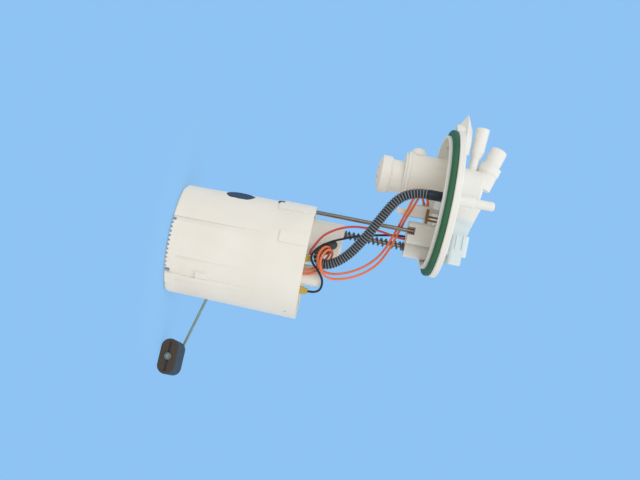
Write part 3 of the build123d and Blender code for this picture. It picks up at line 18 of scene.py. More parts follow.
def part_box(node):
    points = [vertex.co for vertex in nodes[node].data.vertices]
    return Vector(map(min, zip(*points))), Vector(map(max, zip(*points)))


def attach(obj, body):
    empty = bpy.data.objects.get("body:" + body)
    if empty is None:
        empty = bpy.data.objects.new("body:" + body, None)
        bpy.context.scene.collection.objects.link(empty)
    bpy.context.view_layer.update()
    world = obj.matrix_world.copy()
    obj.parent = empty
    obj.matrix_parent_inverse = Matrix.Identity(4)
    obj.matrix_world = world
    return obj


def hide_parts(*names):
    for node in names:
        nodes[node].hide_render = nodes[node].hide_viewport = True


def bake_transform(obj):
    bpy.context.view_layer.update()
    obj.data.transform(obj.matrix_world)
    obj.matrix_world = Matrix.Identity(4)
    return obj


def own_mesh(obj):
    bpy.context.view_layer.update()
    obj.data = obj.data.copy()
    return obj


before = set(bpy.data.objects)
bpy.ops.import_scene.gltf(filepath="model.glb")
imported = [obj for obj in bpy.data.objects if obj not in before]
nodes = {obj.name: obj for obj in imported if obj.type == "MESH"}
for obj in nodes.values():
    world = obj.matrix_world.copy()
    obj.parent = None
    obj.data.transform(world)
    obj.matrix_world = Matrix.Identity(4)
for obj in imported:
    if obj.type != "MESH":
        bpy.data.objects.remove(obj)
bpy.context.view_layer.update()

# %% [markdown]
# Materials are built from nodes. Four helpers keep them short: one turns a hex colour, as a paint
# chart gives it, into the linear values that Blender mixes; one adds a node with its settings and
# links; one starts a material and lists it by its name; and one turns the size of a pattern's
# features into the scale that gives it.

# %% Helpers for colours and nodes
MM = 0.001
materials = {}


def linear(hex_colour):
    """An sRGB hex colour as linear red, green, blue and alpha."""
    parts = [int(hex_colour[i:i + 2], 16) / 255 for i in (1, 3, 5)]
    return [c / 12.92 if c <= 0.04045 else ((c + 0.055) / 1.055) ** 2.4 for c in parts] + [1.0]


def add(tree, kind, inputs=(), **settings):
    """Add a node; inputs are (socket, value or another node's output) pairs."""
    made = tree.nodes.new(kind)
    for name, value in settings.items():
        setattr(made, name, value)
    for name, value in inputs:
        if isinstance(value, bpy.types.NodeSocket):
            tree.links.new(value, made.inputs[name])
        else:
            made.inputs[name].default_value = value
    return made


def start(name):
    """Start a material and list it; returns its node tree and its surface shader."""
    materials[name] = bpy.data.materials.new(name)
    materials[name].use_nodes = True
    tree = materials[name].node_tree
    return tree, tree.nodes["Principled BSDF"]


def per_metre(size_mm):
    """The scale at which a pattern's features are about this many millimetres apart."""
    return 1 / (size_mm * MM)


print("mid grey #808080 is %.3f in linear light" % linear("#808080")[0])

# %% [markdown]
# The camera looks at the module from the side, a little above the reservoir's rim, and is rolled so
# that the module lies across the picture with its flange on the right. Its three axes are written
# from the roll and a small pitch, and a matrix of them sets the camera in one step.

# %% Camera
camera_at = Vector((53.7, -712.0, -90.0)) * MM
pitch, roll = math.radians(0.96), math.radians(11.2)
view_up = Vector((0, math.sin(pitch), math.cos(pitch)))
view_side = Vector((1, 0, 0))
picture_right = math.cos(roll) * view_up - math.sin(roll) * view_side
picture_up = -math.sin(roll) * view_up - math.cos(roll) * view_side
backward = picture_right.cross(picture_up)
turned = Matrix((picture_right, picture_up, backward)).transposed().to_4x4()

camera_data = bpy.data.cameras.new("camera")
camera_data.lens = 44.0
camera_data.sensor_width = 36.0
camera = bpy.data.objects.new("camera", camera_data)
camera.matrix_world = Matrix.Translation(camera_at) @ turned
bpy.context.scene.collection.objects.link(camera)
bpy.context.scene.camera = camera
bpy.context.scene.view_settings.view_transform = "Standard"
print("camera looks along", [round(v, 3) for v in -backward])

# %% [markdown]
# A hose or wire is a line that something round follows. The line is a NURBS curve through space:
# its control points are where the cord would be pinned to a board, and the curve runs smoothly near
# them. The points are those of the solid cord, so the drawn one lies where the solid one does.

# %% Routes of the hose and the wires, in millimetres
routes = {
    "outlet_hose": [
        (-2.7, -40.0, -6.0), (-2.7, -40.0, -14.9), (-2.4, -40.0, -23.6), (-0.4, -39.5, -32.0),
        (3.9, -38.5, -39.7), (11.1, -37.0, -45.9), (24.0, -34.0, -52.8), (37.8, -31.0, -59.6),
        (50.8, -27.0, -66.9), (62.2, -23.0, -74.7), (70.2, -20.0, -83.5), (74.1, -17.5, -91.0),
        (74.0, -15.3, -97.4), (69.1, -13.0, -101.3), (63.3, -9.5, -98.6), (59.3, -6.0, -93.7)],
    "sender_wire_a": [
        (3.2, 4.9, -11.2), (0.4, -1.2, -12.6), (-3.6, -9.6, -15.9), (-4.4, -16.6, -20.0),
        (0.2, -19.6, -23.4), (7.0, -15.0, -25.2), (14.2, -5.6, -27.3), (20.8, 4.3, -29.3),
        (28.4, 12.2, -30.9), (40.5, 12.4, -34.5), (52.5, 10.5, -38.8), (64.5, 7.0, -45.0),
        (74.5, 3.0, -54.9), (81.6, -2.0, -66.9), (85.4, -9.0, -78.8), (85.8, -18.0, -88.6),
        (80.4, -26.4, -95.4), (71.9, -30.4, -98.0), (64.4, -28.6, -96.2), (60.0, -22.2, -92.3),
        (61.9, -14.0, -88.3), (67.6, -9.5, -88.3), (74.0, -7.9, -92.3), (79.6, -7.5, -97.6),
        (84.2, -8.0, -102.4), (86.4, -8.6, -107.4), (86.4, -8.6, -112.5)],
    "sender_wire_b": [
        (3.2, 4.9, -15.2), (0.6, -1.4, -16.8), (-2.4, -9.6, -20.0), (-2.2, -16.4, -24.4),
        (2.8, -18.2, -28.0), (9.0, -12.4, -29.0), (15.4, -3.2, -30.6), (22.0, 6.0, -32.2),
        (29.6, 13.0, -33.9), (40.5, 12.6, -37.9), (51.6, 10.5, -42.0), (61.7, 7.0, -48.7),
        (70.8, 3.0, -58.5), (77.5, -2.0, -70.1), (81.3, -8.0, -81.5), (81.6, -16.4, -91.4),
        (76.9, -23.0, -98.5), (69.2, -26.3, -100.8), (62.7, -25.7, -99.3), (58.0, -21.5, -95.4),
        (58.8, -15.6, -91.4), (64.7, -11.0, -90.7), (71.0, -8.8, -93.7), (76.6, -8.7, -98.6),
        (80.9, -9.2, -103.2), (82.9, -9.4, -107.8), (82.9, -9.4, -112.5)],
    "pump_wire_black": [
        (35.2, 20.4, -25.0), (35.2, 20.4, -31.5), (36.9, 19.4, -40.0), (39.0, 15.4, -50.5),
        (42.3, 10.5, -65.6), (47.0, 3.0, -77.7), (51.7, -8.0, -88.8), (57.3, -13.5, -98.2),
        (63.6, -16.0, -104.6), (69.3, -17.6, -106.9), (75.2, -16.4, -104.4), (81.2, -12.0, -97.7),
        (88.1, -7.5, -92.8), (95.1, -3.0, -92.2), (99.9, 1.6, -94.5), (102.0, 5.0, -99.6),
        (102.0, 5.0, -104.3)],
    "pump_wire_red": [
        (37.6, 17.4, -25.0), (37.6, 17.4, -30.2), (36.6, 17.0, -37.5), (35.3, 15.0, -45.5),
        (34.5, 11.4, -54.5), (34.7, 7.0, -65.5), (36.0, 1.5, -75.5), (39.0, -2.5, -84.2),
        (43.5, -5.8, -92.6), (49.0, -8.2, -99.6), (55.3, -9.2, -103.6), (61.3, -8.2, -106.6),
        (64.9, -7.0, -108.4), (68.5, -7.0, -108.4)],
}


def route_line(name):
    """The smooth line of a route, as close points read from its NURBS spline."""
    curve = bpy.data.curves.new(name + "_route", "CURVE")
    curve.dimensions = "3D"
    spline = curve.splines.new("NURBS")
    spline.points.add(len(routes[name]) - 1)
    for knot, place in zip(spline.points, routes[name]):
        knot.co = [c * MM for c in place] + [1]
    spline.order_u = 3
    spline.use_endpoint_u = True
    spline.resolution_u = 12
    carrier = bpy.data.objects.new(name + "_route", curve)
    line = [v.co.copy() for v in bpy.data.meshes.new_from_object(carrier).vertices]
    bpy.data.objects.remove(carrier)
    return line


lines = {name: route_line(name) for name in routes}
lengths = {name: sum((b - a).length for a, b in zip(line, line[1:]))
           for name, line in lines.items()}
for name, length in lengths.items():
    print(name, "is %.0f mm long, drawn through %d points" % (length / MM, len(lines[name])))

# %% [markdown]
# The hose is blow-moulded with rings that let it bend, and its two ends are smooth cuffs that grip
# the barbs. A curve with a round bevel would give a smooth tube only. So a tube is made as a row of
# circles set across the line and bridged, because circles of changing radius give rings and cuffs
# alike. Each circle is turned from the last one by as little as possible, so that the tube doesn't
# twist.

# %% Tubes along the lines
def stations(line, spacing):
    """Evenly spaced (point, direction, distance) along a line, both ends included."""
    reach = [0.0]
    for a, b in zip(line, line[1:]):
        reach.append(reach[-1] + (b - a).length)
    count = max(2, round(reach[-1] / spacing))
    found, at = [], 0
    for step in range(count + 1):
        distance = reach[-1] * step / count
        while at < len(line) - 2 and reach[at + 1] < distance:
            at += 1
        run = line[at + 1] - line[at]
        place = line[at] + run * ((distance - reach[at]) / run.length)
        found.append((place, run.normalized(), distance))
    return found


def tube(name, line, spacing, sides, radius_at):
    """A closed tube; radius_at(distance, whole) gives a circle's radius and share of a crest."""
    shape = bmesh.new()
    crest_highlight = shape.verts.layers.float.new("crest_highlight")
    row = stations(line, spacing)
    whole = row[-1][2]
    across = row[0][1].orthogonal().normalized()
    rings = []
    for place, direction, distance in row:
        across = (across - direction * across.dot(direction)).normalized()
        turn = Matrix((across, direction.cross(across), direction)).transposed().to_4x4()
        radius, crest = radius_at(distance, whole)
        ring = bmesh.ops.create_circle(
            shape, cap_ends=False, radius=radius, segments=sides,
            matrix=Matrix.Translation(place) @ turn)["verts"]
        for vert in ring:
            vert[crest_highlight] = crest
        rings.append(ring)
    edges = [list({e for v in ring for e in v.link_edges}) for ring in rings]
    for near, far in zip(edges, edges[1:]):
        bmesh.ops.bridge_loops(shape, edges=near + far)
    bmesh.ops.holes_fill(shape, edges=edges[0] + edges[-1], sides=0)
    bmesh.ops.recalc_face_normals(shape, faces=shape.faces)
    return finish_piece(name, shape)


def finish_piece(name, shape, smooth=True):
    """Turn a bmesh into an object in the scene, smooth unless told otherwise."""
    mesh = bpy.data.meshes.new(name)
    shape.to_mesh(mesh)
    shape.free()
    mesh.polygons.foreach_set("use_smooth", [smooth] * len(mesh.polygons))
    piece = bpy.data.objects.new(name, mesh)
    bpy.context.scene.collection.objects.link(piece)
    return piece


RING_PITCH = 2.5 * MM
CIRCLES_PER_RING, HOSE_SIDES = 8, 28
UPPER_CUFF, LOWER_CUFF, CUFF_RADIUS = 12.0 * MM, 4.0 * MM, 4.4 * MM
VALLEY_RADIUS, RING_HEIGHT = 3.65 * MM, 0.9 * MM
CREST_POWER = 0.9  # under 1, so that the crests are a little wider than the valleys
# A cuff's share of a crest is below where the painted highlight starts, so the cuffs get none.
CUFF_CREST = 0.25  # low enough to be coloured as a valley


def hose_radius(distance, whole):
    """Rings between two smooth cuffs as dark as the valleys; crests carry the painted highlight."""
    wave = 0.5 - 0.5 * math.cos(math.tau * distance / RING_PITCH)
    if distance < UPPER_CUFF or whole - distance < LOWER_CUFF:
        return CUFF_RADIUS, CUFF_CREST
    return VALLEY_RADIUS + RING_HEIGHT * wave ** CREST_POWER, wave


hose = tube("corrugated_hose", lines["outlet_hose"], RING_PITCH / CIRCLES_PER_RING, HOSE_SIDES,
            hose_radius)
print("hose has rings %.1f mm apart between its cuffs" % (RING_PITCH / MM))

# %% [markdown]
# A wire is fine strands inside a smooth skin of insulation, so the same tube serves with one radius
# and fewer circles than the hose. Each cord crosses the gap between two bodies that slide apart.

# %% Wires, with the solid cords hidden
WIRE_RADIUS = {"sender_wire_a": 1.1 * MM, "sender_wire_b": 1.1 * MM,
               "pump_wire_black": 1.05 * MM, "pump_wire_red": 1.05 * MM}
WIRE_SPACING, WIRE_SIDES = 1.2 * MM, 14

cords = {"outlet_hose": hose}
for name, radius in WIRE_RADIUS.items():
    cords[name] = tube(name + "_skin", lines[name], WIRE_SPACING, WIRE_SIDES,
                       lambda distance, whole, r=radius: (r, 0.0))

for name, piece in cords.items():
    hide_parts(name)
    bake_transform(piece)
    print(name, "has", len(piece.data.polygons), "faces")

# %% [markdown]
# The main spring pushes the reservoir down, and two small ones seat the regulator's and the check
# valve's closures. Each is wound from round wire, and its last turn at each end lies flat on its
# seat. A screw modifier could wind it at one pitch; spin is used here, because it can raise the
# circle slowly in the end turns and faster between them.

# %% Wound springs
STEPS_PER_TURN, SPRING_WIRE_SIDES = 28, 10
END_TURN_RISE = 2.2  # wire radii, a little over the wire's own thickness


def wound_spring(name, node, wire_radius, turns):
    """A compression spring that fills the box of a solid spring, with a flat turn at each end."""
    low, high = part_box(node)
    axis = (low + high) / 2
    coil_radius = (high.x - low.x) / 2 - wire_radius
    end_rise = END_TURN_RISE * wire_radius
    active = high.z - low.z - 2 * wire_radius - 2 * end_rise
    shape = bmesh.new()
    section = Matrix.Translation((axis.x + coil_radius, axis.y, low.z + wire_radius))
    section = section @ Matrix.Rotation(math.radians(90), 4, "X")
    profile = bmesh.ops.create_circle(shape, cap_ends=False, radius=wire_radius,
                                      segments=SPRING_WIRE_SIDES, matrix=section)["verts"]
    growing = profile + list({e for v in profile for e in v.link_edges})
    for count, rise in ((1, end_rise), (turns, active), (1, end_rise)):
        steps = STEPS_PER_TURN * count
        made = bmesh.ops.spin(shape, geom=growing, cent=axis, axis=(0, 0, 1),
                              angle=math.tau * count, dvec=(0, 0, rise / steps), steps=steps)
        growing = made["geom_last"]
    bmesh.ops.holes_fill(shape, edges=[e for e in shape.edges if e.is_boundary], sides=0)
    bmesh.ops.recalc_face_normals(shape, faces=shape.faces)
    return finish_piece(name, shape)


# piece, solid spring, wire radius in mm, active turns, body it stands on, joint that closes it
SPRINGS = [
    ("wound_main_spring", "main_spring", 0.7, 12, "flange", "reservoir_slide"),
    ("wound_regulator_spring", "regulator_spring", 0.45, 5, "reservoir", "regulator_slide"),
    ("wound_check_spring", "check_valve_spring", 0.25, 6, "reservoir", "check_valve_slide"),
]
springs = []
for name, node, wire_mm, turns, body, joint in SPRINGS:
    spring = wound_spring(name, node, wire_mm * MM, turns)
    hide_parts(node)
    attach(spring, body)
    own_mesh(spring)
    springs.append(spring)

# %% [markdown]
# One key on the flange's rim tells the fitter which way round the module goes. It is a leaf-shaped
# lug: thickest near the hub and drawn out to an edge at its tip. The solid part has its lower half,
# and this is the upper one. It could be a lofted surface, but a face of five corners, extruded,
# drawn in towards the hub and bevelled, gives the same moulded form with few faces.

# %% Upper half of the flange's key
KEY_FOOT, KEY_RISE = 9.0 * MM, 6.3 * MM
KEY_BACK = -47  # mm, the edge nearest the hub, which the top is drawn in to
KEY_OUTLINE = [(KEY_BACK, -12), (-66, -12), (-84.5, 0), (-66, 12), (KEY_BACK, 12)]
KEY_TOP = (0.62, 0.36, 1.0)  # the top's length and width as shares of the foot's; its height stays
KEY_ROUNDING, KEY_SHARP = 1.2 * MM, math.radians(32)

shape = bmesh.new()
foot = bmesh.ops.contextual_create(shape, geom=[
    bmesh.ops.create_vert(shape, co=(x * MM, y * MM, KEY_FOOT))["vert"][0]
    for x, y in KEY_OUTLINE])["faces"]
crown = bmesh.ops.extrude_face_region(shape, geom=foot, use_keep_orig=True)["geom"]
raised = [part for part in crown if isinstance(part, bmesh.types.BMVert)]
bmesh.ops.translate(shape, verts=raised, vec=(0, 0, KEY_RISE))
bmesh.ops.scale(shape, verts=raised, vec=KEY_TOP, space=Matrix.Translation((-KEY_BACK * MM, 0, 0)))
above_foot = [edge for edge in shape.edges if any(vert in raised for vert in edge.verts)]
bmesh.ops.bevel(shape, geom=above_foot, offset=KEY_ROUNDING, segments=3, profile=0.5,
                affect="EDGES", material=-1)
bmesh.ops.recalc_face_normals(shape, faces=shape.faces)
key_crown = finish_piece("flange_key_crown", shape)
key_crown.data.set_sharp_from_angle(angle=KEY_SHARP)
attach(key_crown, "flange")
print("key crown has", len(key_crown.data.polygons), "faces")

# %% [markdown]
# Acetal is the white plastic of nearly every moulding here. It is slightly waxy and lets a little
# light in, so shaded edges look warm. The mould's spark-eroded skin gives it a grain of about a
# tenth of a millimetre, which is too fine to show, so it is drawn nearly 1 mm wide and very
# shallow. The sender's plug and socket are nylon, glossier and clearer. The terminal housings and
# the elbow are glass-filled polyamide, which is dull and lets no light in.

# %% Moulded plastics
CLOUD_MM = 28


def moulded(name, light, dark, roughness, grain_mm, depth_mm, glow=0.0):
    """Moulded plastic: two close tones in soft clouds, and a fine eroded grain."""
    tree, surface = start(name)
    where = add(tree, "ShaderNodeTexCoord").outputs["Object"]
    clouds = add(tree, "ShaderNodeTexNoise", [
        ("Vector", where), ("Scale", per_metre(CLOUD_MM)), ("Detail", 2.0)]).outputs["Fac"]
    tone = add(tree, "ShaderNodeMix", [
        ("Factor", clouds), (6, linear(light)), (7, linear(dark))], data_type="RGBA")
    tree.links.new(tone.outputs[2], surface.inputs["Base Color"])
    grain = add(tree, "ShaderNodeTexNoise", [
        ("Vector", where), ("Scale", per_metre(grain_mm)), ("Detail", 3.0)])
    uneven = add(tree, "ShaderNodeMapRange", [
        ("Value", clouds), ("To Min", roughness - 0.05), ("To Max", roughness + 0.07)])
    tree.links.new(uneven.outputs["Result"], surface.inputs["Roughness"])
    bump = add(tree, "ShaderNodeBump", [
        ("Height", grain.outputs["Fac"]), ("Strength", 0.35), ("Distance", depth_mm * MM)])
    tree.links.new(bump.outputs["Normal"], surface.inputs["Normal"])
    surface.inputs["IOR"].default_value = 1.48
    if glow:
        surface.inputs["Subsurface Weight"].default_value = glow
        surface.inputs["Subsurface Radius"].default_value = (1.0, 0.85, 0.6)
        surface.inputs["Subsurface Scale"].default_value = 2.0 * MM


moulded("acetal_natural", "#EDEAE3", "#E3DFD5", 0.42, 0.9, 0.05, glow=0.12)
moulded("acetal_flange", "#E9E8E3", "#E0DFD9", 0.45, 0.9, 0.05, glow=0.10)
moulded("nylon_white", "#F2F2EE", "#E6E6E0", 0.3, 1.2, 0.03, glow=0.2)
moulded("nylon_black", "#1C1D20", "#141518", 0.38, 0.8, 0.05)
moulded("polyamide_yellow", "#CFB552", "#B2963A", 0.4, 0.9, 0.04)
moulded("polyamide_brown", "#5C534C", "#433A34", 0.45, 0.9, 0.05)
print("moulded plastics:", len(materials))

# %% [markdown]
# Above the flange, the web and the electrical socket are walls of about 2 mm. They are drawn with
# painted shade: a cooler, greyer white than the solid plate, which stands in for the shade they lie
# in and for the cool daylight that acetal this thin lets through. They belong to one moulding with
# the plate, so a material of their own would need a cut in it. A mask on their place is used
# instead: above the plate and on their side of the hub, it turns the tone towards that painted
# shade.

# %% Painted shade on the flange's thin walls
ABOVE_PLATE = (7 * MM, 10 * MM)  # the mask fades in between these heights
BESIDE_HUB = (9 * MM, 13 * MM)  # and between these distances towards the socket

tree = materials["acetal_flange"].node_tree
surface = tree.nodes["Principled BSDF"]
thick_tone = surface.inputs["Base Color"].links[0].from_socket
where = add(tree, "ShaderNodeTexCoord").outputs["Object"]
place = add(tree, "ShaderNodeSeparateXYZ", [("Vector", where)])
over_plate = add(tree, "ShaderNodeMapRange", [
    ("Value", place.outputs["Z"]), ("From Min", ABOVE_PLATE[0]), ("From Max", ABOVE_PLATE[1])])
beside_hub = add(tree, "ShaderNodeMapRange", [
    ("Value", place.outputs["X"]), ("From Min", BESIDE_HUB[0]), ("From Max", BESIDE_HUB[1])])
thin_wall_shade = add(tree, "ShaderNodeMath", [
    (0, over_plate.outputs["Result"]), (1, beside_hub.outputs["Result"])], operation="MULTIPLY")
# Painted shade: on the thin walls, the mask turns the plate's tone to a cool, greyer white.
tone = add(tree, "ShaderNodeMix", [
    ("Factor", thin_wall_shade.outputs["Value"]), (6, thick_tone), (7, linear("#D3DEE1"))], data_type="RGBA")
tree.links.new(tone.outputs[2], surface.inputs["Base Color"])
print("thin walls start %.0f mm above the seal" % (ABOVE_PLATE[0] / MM))

# %% [markdown]
# Rubber scatters light more widely than plastic. The tank seal is moulded in green fluoro rubber
# with a faint dusty bloom, the side grommet in slate-blue nitrile and the valves in black. Bloom
# lies in patches, so noise mixes two tones; small cells give the pebbled skin, drawn coarser than
# it is.

# %% Rubbers
BLOOM_MM = 14


def rubber(name, base, bloom, roughness, cell_mm, depth_mm):
    """Rubber with a dusty bloom in patches and a fine pebbled skin."""
    tree, surface = start(name)
    where = add(tree, "ShaderNodeTexCoord").outputs["Object"]
    patches = add(tree, "ShaderNodeTexNoise", [
        ("Vector", where), ("Scale", per_metre(BLOOM_MM)), ("Detail", 4.0)])
    tone = add(tree, "ShaderNodeMix", [
        ("Factor", patches.outputs["Fac"]), (6, linear(base)), (7, linear(bloom))],
        data_type="RGBA")
    tree.links.new(tone.outputs[2], surface.inputs["Base Color"])
    cells = add(tree, "ShaderNodeTexVoronoi", [("Vector", where), ("Scale", per_metre(cell_mm))])
    bump = add(tree, "ShaderNodeBump", [
        ("Height", cells.outputs["Distance"]), ("Strength", 0.5), ("Distance", depth_mm * MM)])
    tree.links.new(bump.outputs["Normal"], surface.inputs["Normal"])
    surface.inputs["Roughness"].default_value = roughness
    surface.inputs["IOR"].default_value = 1.52


rubber("fluoro_rubber_green", "#1E5831", "#2F6A42", 0.66, 0.6, 0.03)
rubber("nitrile_black", "#17181A", "#26272A", 0.6, 0.6, 0.03)
rubber("nitrile_slate", "#1C3142", "#2A4256", 0.65, 0.6, 0.03)
print("rubbers:", [name for name in materials if "rubber" in name or "nitrile" in name])

# %% [markdown]
# The float is foamed nitrile rubber, cut from a bar. Its moulded sides have a closed slate-grey
# skin, and the two cut ends show open brown cells. The distance along the float tells one from the
# other, so the same material serves for both, and the change is a soft line where the skin was cut.

# %% Foam float
FLOAT_AXIS = Vector((10.8, 52.0, 0.0)).normalized()
CUT_FROM, CUT_TO = 0.6 * MM, 0.2 * MM  # how far inside each end the cut colour begins and is full

rubber("nitrile_foam", "#2E3439", "#3B4248", 0.7, 0.8, 0.12)
tree = materials["nitrile_foam"].node_tree
surface = tree.nodes["Principled BSDF"]
skin_tone = surface.inputs["Base Color"].links[0].from_socket
reach = [vert.co.dot(FLOAT_AXIS) for vert in nodes["float_block"].data.vertices]
middle, half = (min(reach) + max(reach)) / 2, (max(reach) - min(reach)) / 2
where = add(tree, "ShaderNodeTexCoord").outputs["Object"]
place = add(tree, "ShaderNodeVectorMath", [(0, where), (1, FLOAT_AXIS)], operation="DOT_PRODUCT")
offset = add(tree, "ShaderNodeMath", [
    (0, place.outputs["Value"]), (1, middle)], operation="SUBTRACT")
from_middle = add(tree, "ShaderNodeMath", [(0, offset.outputs["Value"])], operation="ABSOLUTE")
cut = add(tree, "ShaderNodeMapRange", [
    ("Value", from_middle.outputs["Value"]),
    ("From Min", half - CUT_FROM), ("From Max", half - CUT_TO)])
tone = add(tree, "ShaderNodeMix", [
    ("Factor", cut.outputs["Result"]), (6, skin_tone), (7, linear("#483828"))], data_type="RGBA")
tree.links.new(tone.outputs[2], surface.inputs["Base Color"])
print("float is %.1f mm long" % (2 * half / MM))

# %% [markdown]
# The hose is slate-grey polyamide, blow-moulded. Its ring crests get a painted highlight, a lighter
# tone than the valleys. So each vertex of the tube carries its share of a crest as an attribute, and
# the painted highlight follows that round every bend. Wire insulation is soft PVC, extruded, so it
# is smooth and only its tone drifts.

# %% Hose and wire skins
SCUFF_MM, DRIFT_MM = 3, 9

tree, surface = start("polyamide_slate")
crest_highlight = add(tree, "ShaderNodeAttribute", attribute_name="crest_highlight")
# Painted highlight: the crests get the light tone, and the valleys keep the hose's dark one.
crest = add(tree, "ShaderNodeMapRange", [
    ("Value", crest_highlight.outputs["Fac"]), ("From Min", 0.4), ("From Max", 1.0)])
tone = add(tree, "ShaderNodeMix", [
    ("Factor", crest.outputs["Result"]), (6, linear("#1C1E21")), (7, linear("#7C7E7C"))],
    data_type="RGBA")
tree.links.new(tone.outputs[2], surface.inputs["Base Color"])
where = add(tree, "ShaderNodeTexCoord").outputs["Object"]
scuff = add(tree, "ShaderNodeTexNoise", [
    ("Vector", where), ("Scale", per_metre(SCUFF_MM)), ("Detail", 4.0)])
dull = add(tree, "ShaderNodeMapRange", [
    ("Value", scuff.outputs["Fac"]), ("To Min", 0.32), ("To Max", 0.5)])
tree.links.new(dull.outputs["Result"], surface.inputs["Roughness"])
surface.inputs["IOR"].default_value = 1.53


def insulation(name, base, worn):
    """Soft wire insulation with a slightly uneven tone along it."""
    tree, surface = start(name)
    where = add(tree, "ShaderNodeTexCoord").outputs["Object"]
    drift = add(tree, "ShaderNodeTexNoise", [
        ("Vector", where), ("Scale", per_metre(DRIFT_MM)), ("Detail", 3.0)])
    tone = add(tree, "ShaderNodeMix", [
        ("Factor", drift.outputs["Fac"]), (6, linear(base)), (7, linear(worn))], data_type="RGBA")
    tree.links.new(tone.outputs[2], surface.inputs["Base Color"])
    surface.inputs["Roughness"].default_value = 0.42
    surface.inputs["IOR"].default_value = 1.5


insulation("pvc_orange", "#E4672E", "#EC8250")
insulation("pvc_red", "#C4403C", "#D05A54")
insulation("pvc_black", "#1A1818", "#2A2626")
print("skins:", [name for name in materials if "slate" in name or "pvc" in name])

# %% [markdown]
# The rods are ground steel, with long faint marks along them. Spring wire is oil-tempered and
# darker. The float's arm is zinc-plated wire, passivated pale yellow, and its washers are stamped
# steel. The pump's tube and covers are bright zinc, and the terminals are brass that has dulled to
# brown. One function serves them all, because they differ in tone, gloss and the size and run of
# their marks. Metals keep the default IOR.

# %% Metals
def metal(name, bright, dull, roughness, mark_mm, stretch=(1, 1, 1)):
    """Bare metal: tone and roughness vary in marks of one size, stretched along a direction."""
    tree, surface = start(name)
    where = add(tree, "ShaderNodeTexCoord").outputs["Object"]
    place = add(tree, "ShaderNodeMapping", [("Vector", where), ("Scale", stretch)])
    marks = add(tree, "ShaderNodeTexNoise", [
        ("Vector", place.outputs["Vector"]), ("Scale", per_metre(mark_mm)), ("Detail", 3.0)])
    tone = add(tree, "ShaderNodeMix", [
        ("Factor", marks.outputs["Fac"]), (6, linear(bright)), (7, linear(dull))], data_type="RGBA")
    tree.links.new(tone.outputs[2], surface.inputs["Base Color"])
    rough = add(tree, "ShaderNodeMapRange", [
        ("Value", marks.outputs["Fac"]), ("To Min", roughness - 0.06), ("To Max", roughness + 0.1)])
    tree.links.new(rough.outputs["Result"], surface.inputs["Roughness"])
    surface.inputs["Metallic"].default_value = 1.0


# The rods' warm brown tint is a painted reflection: it offsets the blue backdrop in their gloss.
metal("steel_ground", "#C39F82", "#A8825F", 0.2, 14.0, stretch=(1.0, 1.0, 0.25))
metal("spring_wire", "#8C8480", "#5E5652", 0.36, 2.0)
metal("steel_zinc", "#C4C6CA", "#A4A6AA", 0.34, 2.5)
metal("zinc_yellow", "#D8C6A4", "#B8A37C", 0.4, 4.0)
# The washers' warm tint is a painted reflection too, which offsets the blue backdrop in their gloss.
metal("steel_stamped", "#B9A48E", "#8F7C68", 0.42, 1.5)
metal("brass_dull", "#B98A50", "#8A5C34", 0.4, 2.0)
metal("copper_windings", "#B0704A", "#7A4A30", 0.45, 0.6, stretch=(3, 3, 0.3))
metal("ferrite", "#5A585A", "#454346", 0.6, 1.0)
print("materials so far:", len(materials))

# %% [markdown]
# The filter paper, the strainer's mesh and the resistor card are seen only when the module is
# opened, but each gets a finish of its own. All three are banded: pleats in the paper, threads in
# the mesh, printed tracks on the card. A wave makes the bands, coarser than the real ones so that
# they show.

# %% Paper, mesh and card
WAVE_RATE = 20  # radians that a wave turns through over one unit at a scale of 1


def banded(name, light, dark, radian_mm, roughness):
    """Pleats, threads or tracks: bands of two tones, one radian of their wave this long."""
    tree, surface = start(name)
    where = add(tree, "ShaderNodeTexCoord").outputs["Object"]
    bands = add(tree, "ShaderNodeTexWave", [
        ("Vector", where), ("Scale", per_metre(radian_mm) / WAVE_RATE), ("Distortion", 0.6)],
        bands_direction="X")
    tone = add(tree, "ShaderNodeMix", [
        ("Factor", bands.outputs["Fac"]), (6, linear(dark)), (7, linear(light))], data_type="RGBA")
    tree.links.new(tone.outputs[2], surface.inputs["Base Color"])
    surface.inputs["Roughness"].default_value = roughness


banded("filter_paper", "#E6CF98", "#CDB37C", 0.8, 0.85)
banded("polyamide_mesh", "#E2E2DA", "#A8A8A0", 0.6, 0.6)
banded("resistor_ceramic", "#2C5A48", "#23483A", 1.5, 0.3)
print("all materials:", len(materials))

# %% [markdown]
# Each solid part now gets the finish of its real piece, and a moulding that the table leaves out is
# natural acetal, as most of them are. The solids of the hose, the wires and the springs don't show,
# because drawn pieces replace them. Those get their finish too.

# %% A finish for every piece
finishes = {
    "acetal_flange": ["flange_cover", "vapour_elbow"],
    "fluoro_rubber_green": ["tank_seal"],
    "brass_dull": ["connector_pins", "plug_terminals", "wiper_contact"],
    "nitrile_black": ["vent_valve_pad", "foot_valve", "pump_isolator", "check_valve"],
    "spring_wire": ["vent_valve_spring", "rod_clip", "regulator_spring", "check_valve_spring"],
    "steel_ground": ["guide_rod_front", "guide_rod_rear", "pump_shaft"],
    "nylon_white": ["sender_plug", "sender_socket"],
    "nitrile_slate": ["side_grommet"],
    "nylon_black": ["latch_clip", "hose_clamp", "pump_end_cap", "check_valve_stop", "impeller"],
    "polyamide_brown": ["outlet_elbow"],
    "steel_zinc": [
        "regulator_can", "regulator_valve", "pump_casing", "pump_inlet_cover",
        "pump_bearing_plate"],
    "ferrite": ["pump_magnets", "pump_brushes"],
    "copper_windings": ["armature"],
    "filter_paper": ["filter_element"],
    "polyamide_mesh": ["inlet_strainer"],
    "polyamide_yellow": ["power_terminals"],
    "resistor_ceramic": ["resistor_card"],
    "zinc_yellow": ["float_arm"],
    "nitrile_foam": ["float_block"],
    "steel_stamped": ["float_clip"],
}
finish_of = {name: finish for finish, names in finishes.items() for name in names}
for name, node in nodes.items():
    node.data.materials.clear()
    node.data.materials.append(materials[finish_of.get(name, "acetal_natural")])

